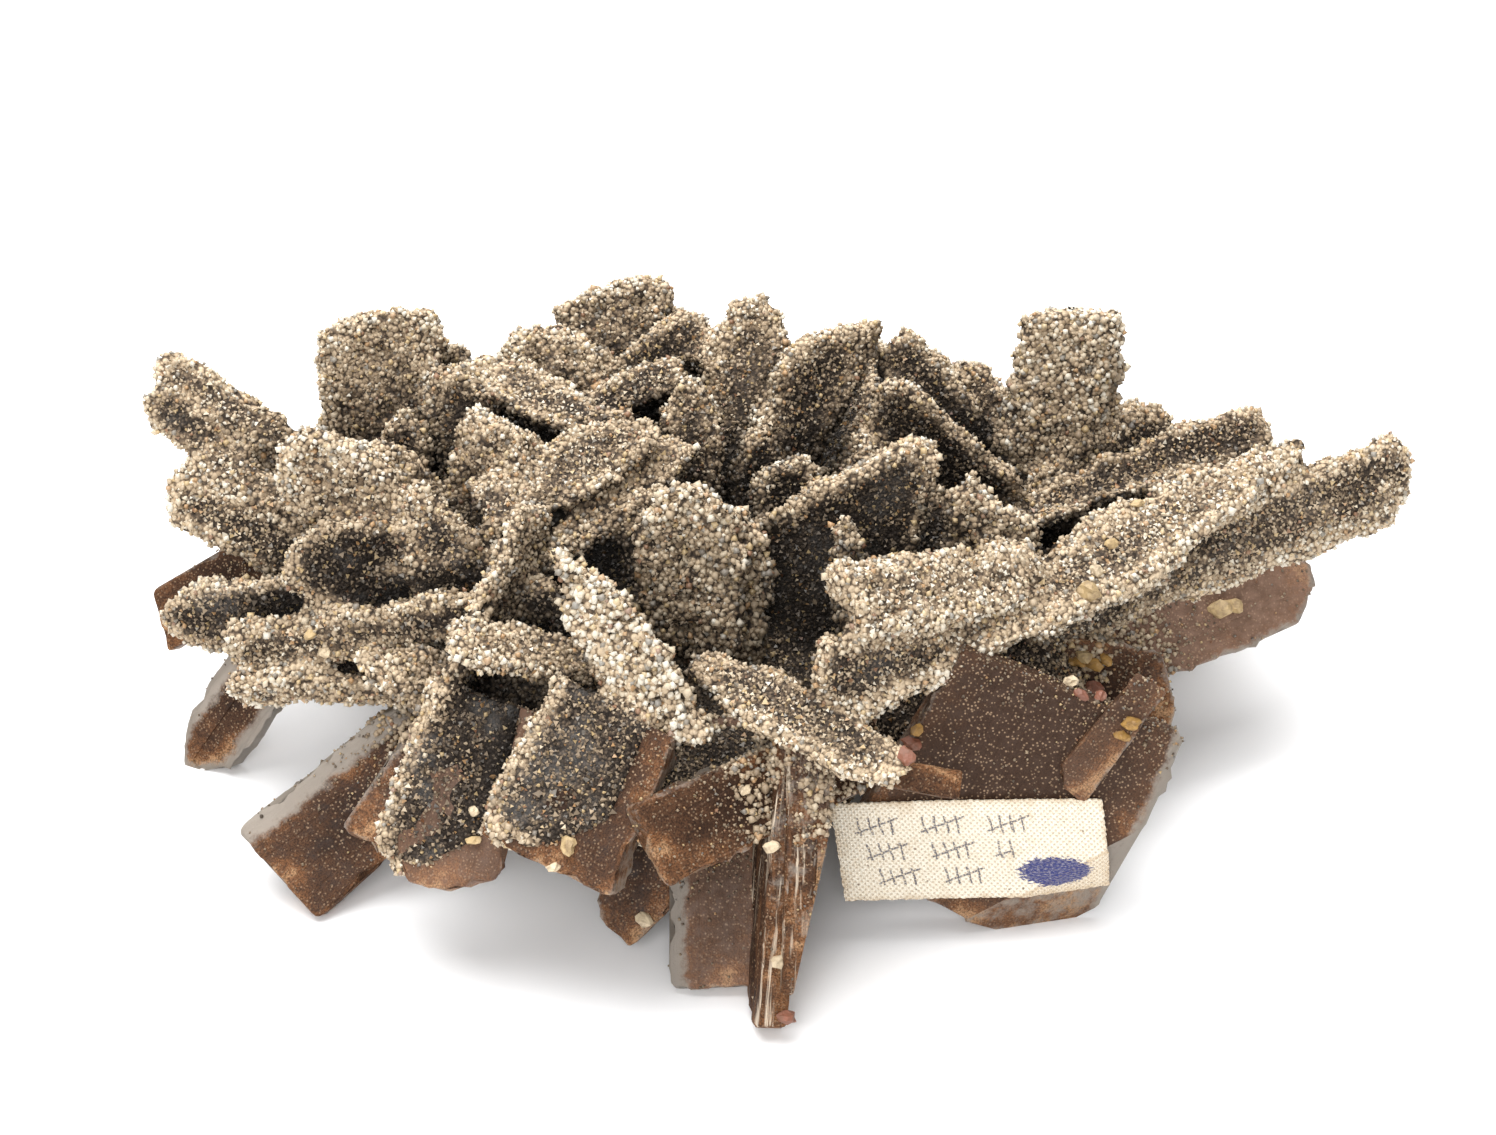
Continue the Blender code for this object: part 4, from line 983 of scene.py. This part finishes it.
# Larger grains, packed on the rims and few on the faces, with those on the bare crystals
sand_share = kept_values(bare_crystals.data, "sand_share")
bare_density = sand_share * BARE_DENSITY
bare_spots, bare_across, bare_corners, bare_shares = on_surface(bare_crystals.data, 0, bare_density)
upward = bare_across[:, 2] > BARE_FACING
bare_spots, bare_across = bare_spots[upward], bare_across[upward]
bare_corners, bare_shares = bare_corners[upward], bare_shares[upward]
bare_coarse = eased(at_spots(sand_share, bare_corners, bare_shares), 0.75, 1.0)
wanted = LARGE_GRAINS - len(bare_spots)
large_share = seen_share * (0.02 + coarse)
spots, across, corners, shares = spread(skin.data, wanted, LARGE_SPARE, large_share, LARGE_APART)
spot_coarse = np.concatenate([at_spots(coarse, corners, shares), bare_coarse])
spot_sky = np.concatenate([at_spots(sky, corners, shares), np.full(len(bare_spots), 0.6)])
spots, across = np.concatenate([spots, bare_spots]), np.concatenate([across, bare_across])
count = len(spots)
spot_pale = np.concatenate([at_spots(pale, corners, shares), np.zeros(len(bare_spots))])
palest = eased(spot_pale, 0.8, 1.0)
radii = LARGE_RADIUS * (0.78 + 0.27 * spot_coarse) * (1 + 0.25 * palest)
radii = radii * np.exp(grain_rng.normal(0, 0.2, count))
on_bare = np.arange(count) >= count - len(bare_spots)
radii = np.clip(radii * np.where(on_bare, ON_BARE + (1 - ON_BARE) * spot_coarse, 1), *LARGE_LIMITS)
# Their tone is their own, with painted light and shade: lighter where the skin is open to the sky, darker
# in the depths.
tones_and_shade = (grain_rng.normal(0.64, 0.12, count) - on_bare * 0.08 + (spot_coarse - 0.6) * 0.25
         + (spot_sky - 0.6) * 0.6 + cloudy(spots, 9.0, 5) * 0.1 + 0.10 * palest)
lay_sand(spots + across * (radii * 0.3)[:, None] + grain_rng.normal(0, 0.08, (count, 3)), radii,
         np.clip(tones_and_shade, *TONES), spot_sky, OCTAHEDRON, OCTAHEDRON_FACES, True)

# The label: a strip of ivory cloth tape, half an inch wide, with a plain weave. It is glued to the broad
# crystal at the lower right, its edges are a little frayed, and its lower right corner has let go.

TAPE_LENGTH = 31.5
TAPE_WIDTH = 12.7
TAPE_THICK = 0.32
TAPE_OFF = 2.42
TAPE_CELL = 0.3
AT_EDGE = 0.01
TAPE_CENTRE = Vector((22.4, -38.0, 10.3))
TAPE_RISE = 0.02
LABEL_BLADE_POINT = Vector((20.0, -39.0, 1.0))
TAPE_MOVED = (-0.24, 1.6)
TAPE_SLANT = -0.135
LOOSE_CORNER = (11.0, 6.0)
CORNER_BEND = math.radians(25)
FRAY = 0.13
FRAY_SHARES = (-0.2, 1)
RIPPLE = 0.10
SAG = 0.22
SAG_LEAST = 0.2
TAPE_SMOOTH = math.radians(50)

bpy.ops.object.select_all(action="DESELECT")
bpy.ops.mesh.primitive_grid_add(x_subdivisions=round(TAPE_LENGTH / TAPE_CELL),
                                y_subdivisions=round(TAPE_WIDTH / TAPE_CELL), size=1)
tape = bpy.context.object
tape.name = "cloth_label_tape"
tape.scale = (TAPE_LENGTH, TAPE_WIDTH, 1)
bpy.ops.object.transform_apply()
tape_rng = random.Random(4)
half_x, half_y = TAPE_LENGTH / 2, TAPE_WIDTH / 2
crease_x, crease_y = LOOSE_CORNER
crease_long = math.hypot(crease_x, crease_y)
tape_places = np.zeros((len(tape.data.vertices), 3))
for i, vert in enumerate(tape.data.vertices):
    x, y, _ = vert.co
    tape_places[i] = x, y, 0
    over = ((x - half_x + crease_x) * crease_y - (y + half_y) * crease_x) / crease_long
    bent = max(0.0, over)
    lift = -math.sin(CORNER_BEND) * bent
    drawn = (1 - math.cos(CORNER_BEND)) * bent
    frayed_x, frayed_y = 0, 0
    if abs(abs(x) - half_x) < AT_EDGE:
        frayed_x = tape_rng.uniform(*FRAY_SHARES) * FRAY * math.copysign(1, x)
    if abs(abs(y) - half_y) < AT_EDGE:
        frayed_y = tape_rng.uniform(*FRAY_SHARES) * -FRAY * math.copysign(1, y)
    x -= drawn * crease_y / crease_long + frayed_x
    y += drawn * crease_x / crease_long + frayed_y
    wave = RIPPLE * noise.noise(Vector((x * 0.16, y * 0.3, 4.0)))
    sag = SAG * math.cos(x / half_x * 1.5) - SAG_LEAST
    vert.co = (x + TAPE_SLANT * y, y + sag * 0.6, lift + wave)
keep_values(tape.data, "tape_place", tape_places, "FLOAT_VECTOR")
wall = tape.modifiers.new("wall", "SOLIDIFY")
wall.thickness = TAPE_THICK
wall.offset = 1
bpy.ops.object.modifier_apply(modifier="wall")
out = Vector((0.0, -1.0, 0.25)).normalized()
right = Vector((1, 0, TAPE_RISE))
right = (right - out * right.dot(out)).normalized()
middle = TAPE_CENTRE - out * (TAPE_CENTRE - LABEL_BLADE_POINT).dot(out) + out * TAPE_OFF + MOVED
middle += right * TAPE_MOVED[0] + out.cross(right) * TAPE_MOVED[1]
turn = Matrix((right, out.cross(right), out)).transposed().to_4x4()
tape.matrix_world = Matrix.Scale(MM, 4) @ Matrix.Translation(middle) @ turn
bpy.ops.object.transform_apply()
bpy.ops.object.shade_smooth_by_angle(angle=TAPE_SMOOTH)

THREAD = 0.36
IVORY = (0.77, 0.67, 0.52)
PALE_IVORY = (0.86, 0.80, 0.68)
STAIN_AND_SHADE = (0.46, 0.31, 0.16)
DIRT = (0.16, 0.10, 0.06)
PENCIL = (0.075, 0.07, 0.09)
BLUE_INK = (0.020, 0.028, 0.150)
ROWS = [(3.3, -13.0, 8.4), (0.0, -12.6, 4.6), (-3.3, -12.0, 0.8)]
STROKE_HIGH = 1.05
STROKE_STEP = 1.25
STROKES_WIDE = 7.6
INK_CENTRE = (9.3, -3.0)
INK_HALF = (4.4, 2.0)

cloth = Finish("woven_tape")
tape_place = cloth.attribute("tape_place", output=1)
across_tape = cloth.node("ShaderNodeSeparateXYZ", None, {"Vector": tape_place}, output=0)
up_tape = cloth.node("ShaderNodeSeparateXYZ", None, {"Vector": tape_place}, output=1)
wobble = cloth.noise(tape_place, 0.8, 2, 0.5)
warp_threads = cloth.maths("SINE", (across_tape + wobble * 0.12) * (math.tau / THREAD))
weft_threads = cloth.maths("SINE", (up_tape + wobble * 0.12) * (math.tau / THREAD))
half_warp = cloth.maths("SINE", across_tape * (math.pi / THREAD))
half_weft = cloth.maths("SINE", up_tape * (math.pi / THREAD))
over_under = half_warp * half_weft
weave = (warp_threads * 0.25 + weft_threads * 0.25 + over_under * 0.35 + 0.5)
slub = cloth.noise(cloth.stretched(tape_place, (0.35, 3.0, 1.0)), 1.0, 3, 0.6)
slub_up = cloth.noise(cloth.stretched(tape_place, (3.0, 0.35, 1.0)), 1.0, 3, 0.6)
ivory = cloth.mixed(((slub + slub_up) * 1.6 - 1.1).clamped(), IVORY, PALE_IVORY)
# Painted shade in the gaps between the threads, in the colour of the old stain.
painted_thread_shade = weave.ramp_down(0.05, 0.45) * 0.5
ivory = cloth.mixed(painted_thread_shade, ivory, STAIN_AND_SHADE)
soil = cloth.noise(tape_place, 0.32, 4, 0.65)
ivory = cloth.mixed(soil.ramp_up(0.52, 0.78) * 0.45, ivory, STAIN_AND_SHADE)
edge_x = half_x - cloth.maths("ABSOLUTE", across_tape)
edge_y = half_y - cloth.maths("ABSOLUTE", up_tape)
edge = cloth.maths("MINIMUM", edge_x, edge_y)
ivory = cloth.mixed(edge.ramp_down(0.0, 1.1) * soil.ramp_up(0.35, 0.6) * 0.5, ivory, STAIN_AND_SHADE)
crumbs = cloth.node("ShaderNodeTexVoronoi", {"feature": "F1"}, {"Vector": tape_place, "Scale": 0.9})
crumb_noise = cloth.noise(tape_place, 0.7, 2, 0.5)
# Painted shade along the crease of the loose corner, and on the flap beyond it, which is painted darker in
# the colour of the old stain.
fold = (up_tape + half_y) * crease_x - (across_tape - half_x + crease_x) * crease_y
off_fold = cloth.maths("ABSOLUTE", fold / crease_long)
ivory = cloth.mixed(off_fold.ramp_down(0.05, 0.35) * 0.55, ivory, STAIN_AND_SHADE)
ivory = cloth.mixed(fold.ramp_down(-6.0, 0.0) * 0.35, ivory, STAIN_AND_SHADE)
ivory = cloth.mixed(crumbs.ramp_down(0.08, 0.17) * crumb_noise.ramp_up(0.5, 0.62) * 0.8, ivory, DIRT)

# Plain counting strokes in pencil, four and one across them, in three rows
pencil = 0.0
for row_up, row_left, row_right in ROWS:
    shaky = (cloth.noise(tape_place, 0.5, 1, 0.4) - 0.5) * 0.7
    along_row = across_tape + up_tape * 0.12 + shaky - row_left
    in_group = cloth.maths("FLOORED_MODULO", along_row, STROKES_WIDE)
    in_step = cloth.maths("FLOORED_MODULO", in_group, STROKE_STEP)
    off_stroke = cloth.maths("ABSOLUTE", in_step - STROKE_STEP / 2)
    high = cloth.maths("ABSOLUTE", up_tape + shaky * 0.5 - row_up)
    slanted = (up_tape - row_up) - (in_group - STROKE_STEP * 2) * (STROKE_HIGH / STROKE_STEP / 2.4)
    off_slant = cloth.maths("ABSOLUTE", slanted)
    upright = off_stroke.ramp_down(0.07, 0.19) * in_group.ramp_down(STROKE_STEP * 4, STROKE_STEP * 4 + 0.05)
    leaning = off_slant.ramp_down(0.07, 0.19) * in_group.ramp_down(STROKE_STEP * 4.3, STROKE_STEP * 4.4)
    either = cloth.maths("MAXIMUM", upright, leaning)
    in_row = high.ramp_down(STROKE_HIGH, STROKE_HIGH + 0.15) * along_row.ramp_up(-0.05, 0.05)
    in_row = in_row * along_row.ramp_down(row_right - row_left, row_right - row_left + 0.05)
    pencil = either * in_row + pencil
pencil_share = (pencil * weave.ramp_up(0.10, 0.60)).clamped() * 0.9
ivory = cloth.mixed(pencil_share, ivory, PENCIL)

# A patch scribbled over in blue ink
ink_x = (across_tape - INK_CENTRE[0]) / INK_HALF[0]
ink_y = (up_tape - INK_CENTRE[1]) / INK_HALF[1]
ink_ragged = cloth.noise(cloth.stretched(tape_place, (1.2, 3.0, 1.0)), 1.2, 3, 0.7)
ink_inside = 1 - (ink_x * ink_x + ink_y * ink_y + (ink_ragged - 0.5) * 2.2)
scribble = cloth.noise(cloth.stretched(tape_place, (1.6, 4.5, 1.0)), 1.5, 2, 0.6)
ink_share = ink_inside.ramp_up(0.0, 0.15) * (0.74 + scribble.ramp_up(0.35, 0.55) * 0.25)
ivory = cloth.mixed(ink_share, ivory, BLUE_INK)
woven_tape = cloth.shown(cloth.node("ShaderNodeBsdfPrincipled", None, {
    "Base Color": ivory, "Roughness": 0.85, "Normal": cloth.bump(weave, 0.14 * MM), "Sheen Weight": 0.15}))
tape.data.materials.append(woven_tape)
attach(tape, "root")
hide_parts("cloth_label")

# The lumps: a few pale yellow pebbles and rusty crumbs that the sand holds. Each lies where the line of
# sight through its place in the photograph, in pixels, meets the cluster. Its length is in millimetres.

ELEVATION = math.radians(35)
DISTANCE = 0.330
LOOKS_AT = Vector((-0.0036, 0.0011, 0.025))
FOCAL_PIXELS = 2626
IMAGE_WIDTH, IMAGE_HEIGHT = 1496, 1135
EYE = LOOKS_AT + Vector((0, -math.cos(ELEVATION), math.sin(ELEVATION))) * DISTANCE
SIGHT = Vector((0, math.cos(ELEVATION), -math.sin(ELEVATION)))
SIGHT_UP = Vector((0, math.sin(ELEVATION), math.cos(ELEVATION)))
HONEY = (0.50, 0.36, 0.18)
CREAM = (0.56, 0.45, 0.30)
RUSTY = (0.19, 0.07, 0.04)
GOLDEN = (0.36, 0.20, 0.05)
LUMP_DIRT = (0.10, 0.055, 0.03)
LUMPS = [
    (474, 840, 1.7, HONEY), (569, 846, 2.3, HONEY), (554, 867, 1.6, CREAM), (474, 812, 1.5, CREAM),
    (644, 919, 2.2, CREAM), (315, 749, 2.0, CREAM), (325, 652, 1.9, CREAM), (311, 634, 1.5, HONEY),
    (771, 847, 1.8, CREAM), (781, 960, 1.9, CREAM), (807, 980, 1.8, CREAM), (786, 1017, 2.6, RUSTY),
    (1131, 722, 2.6, GOLDEN), (1122, 735, 1.8, GOLDEN), (1219, 609, 3.3, HONEY), (1233, 606, 2.6, HONEY),
    (1088, 593, 3.0, HONEY), (1097, 571, 1.9, CREAM), (1111, 545, 1.8, HONEY), (1136, 505, 1.6, HONEY),
    (1074, 664, 2.4, GOLDEN), (1084, 655, 2.6, HONEY), (1095, 664, 2.2, GOLDEN), (1106, 659, 2.0, GOLDEN),
    (1093, 688, 2.6, RUSTY), (1099, 699, 2.0, RUSTY), (1080, 697, 1.8, RUSTY), (1069, 684, 2.0, CREAM),
    (912, 742, 2.2, RUSTY), (905, 757, 2.4, RUSTY), (918, 729, 1.8, GOLDEN), (745, 790, 1.6, CREAM),
]
LUMP_SUNK = 0.25
LUMP_SMOOTH = math.radians(22)

lump_rng = random.Random(21)
bare_tree = BVHTree.FromObject(bare_crystals, bpy.context.evaluated_depsgraph_get())
lumps = []
for across_photo, down_photo, long, tint in LUMPS:
    aim = SIGHT * FOCAL_PIXELS + SIGHT_UP * (IMAGE_HEIGHT / 2 - down_photo)
    aim = (aim + Vector((across_photo - IMAGE_WIDTH / 2, 0, 0))).normalized()
    hits = [hit for hit in (tree.ray_cast(EYE, aim), bare_tree.ray_cast(EYE, aim)) if hit[0] is not None]
    if not hits:
        continue
    spot, facing, _, _ = min(hits, key=lambda hit: hit[3])
    bpy.ops.object.select_all(action="DESELECT")
    bpy.ops.mesh.primitive_ico_sphere_add(subdivisions=2, radius=long / 2)
    lump = bpy.context.object
    seed = Vector([lump_rng.uniform(-50, 50) for _ in range(3)])
    for vert in lump.data.vertices:
        knob = noise.noise(vert.co / long * 2.2 + seed) * 0.5 + noise.noise(vert.co / long * 5 + seed) * 0.3
        vert.co *= 1 + knob
    lump.scale = (1, lump_rng.uniform(0.65, 0.9), lump_rng.uniform(0.5, 0.75))
    lump.rotation_euler = (lump_rng.uniform(-0.4, 0.4), lump_rng.uniform(-0.4, 0.4), lump_rng.uniform(0, 6))
    lump.location = spot / MM + facing * long * (0.5 - LUMP_SUNK) * 0.6
    bpy.ops.object.transform_apply()
    shade = lump_rng.uniform(0.85, 1.1)
    shaded = [part * shade for part in tint]
    keep_values(lump.data, "tint", shaded * len(lump.data.vertices), "FLOAT_VECTOR")
    lumps.append(lump)
pebbles = joined(lumps, "lumps")
pebbles.scale = (MM, MM, MM)
bpy.ops.object.transform_apply()
bpy.ops.object.shade_smooth_by_angle(angle=LUMP_SMOOTH)
pebble = Finish("pebbles")
pebble_place = pebble.node("ShaderNodeTexCoord", output=3)
pebble_cloud = pebble.noise(pebble_place, 900, 3, 0.6)
pebble_tint = pebble.attribute("tint", output=0)
pebble_colour = pebble.mixed(pebble_cloud.ramp_up(0.40, 0.70) * 0.55, pebble_tint, LUMP_DIRT)
pebbles.data.materials.append(pebble.shown(pebble.node("ShaderNodeBsdfPrincipled", None, {
    "Base Color": pebble_colour, "Roughness": 0.4 + pebble_cloud * 0.3,
    "Normal": pebble.bump(pebble_cloud, 0.3 * MM)})))
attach(pebbles, "root")

# The floor, the light and the camera: a pale table under soft studio light, seen from 35 degrees above.

FLOOR_SIZE = 6
SENSOR = 36
NEAR = 0.01
FAR = 10
OFF_WHITE = (0.92, 0.92, 0.925, 1)
WHITE = (1.0, 1.0, 1.0, 1)
ALL_ROUND = 0.47
MIDDLE = (0, 0, 0.02)

bpy.ops.object.select_all(action="DESELECT")
bpy.ops.mesh.primitive_plane_add(size=FLOOR_SIZE)
floor = bpy.context.object
floor.name = "floor"
floor_finish = Finish("pale_floor")
floor.data.materials.append(floor_finish.shown(floor_finish.node(
    "ShaderNodeBsdfPrincipled", None, {"Base Color": OFF_WHITE, "Roughness": 0.75})))

world = bpy.data.worlds.new("studio")
bpy.context.scene.world = world
world.use_nodes = True
world.node_tree.nodes["Background"].inputs[0].default_value = WHITE
world.node_tree.nodes["Background"].inputs[1].default_value = ALL_ROUND


def soft_light(name, place, aim, size, power):
    light = bpy.data.lights.new(name, "AREA")
    light.shape = "DISK"
    light.size = size
    light.energy = power
    lamp = bpy.data.objects.new(name, light)
    bpy.context.scene.collection.objects.link(lamp)
    lamp.location = place
    lamp.rotation_mode = "QUATERNION"
    lamp.rotation_quaternion = (Vector(aim) - Vector(place)).to_track_quat("-Z", "Y")


soft_light("overhead", (-0.09, 0.13, 0.60), MIDDLE, 0.75, 8.4)
soft_light("front", (-0.12, -0.58, 0.38), MIDDLE, 0.5, 3.0)

camera_data = bpy.data.cameras.new("camera")
camera = bpy.data.objects.new("camera", camera_data)
bpy.context.scene.collection.objects.link(camera)
camera_data.sensor_width = SENSOR
camera_data.lens = SENSOR * FOCAL_PIXELS / IMAGE_WIDTH
camera_data.clip_start = NEAR
camera_data.clip_end = FAR
camera.location = EYE
camera.rotation_euler = (math.pi / 2 - ELEVATION, 0, 0)
bpy.context.scene.camera = camera
bpy.context.scene.view_settings.view_transform = "Standard"
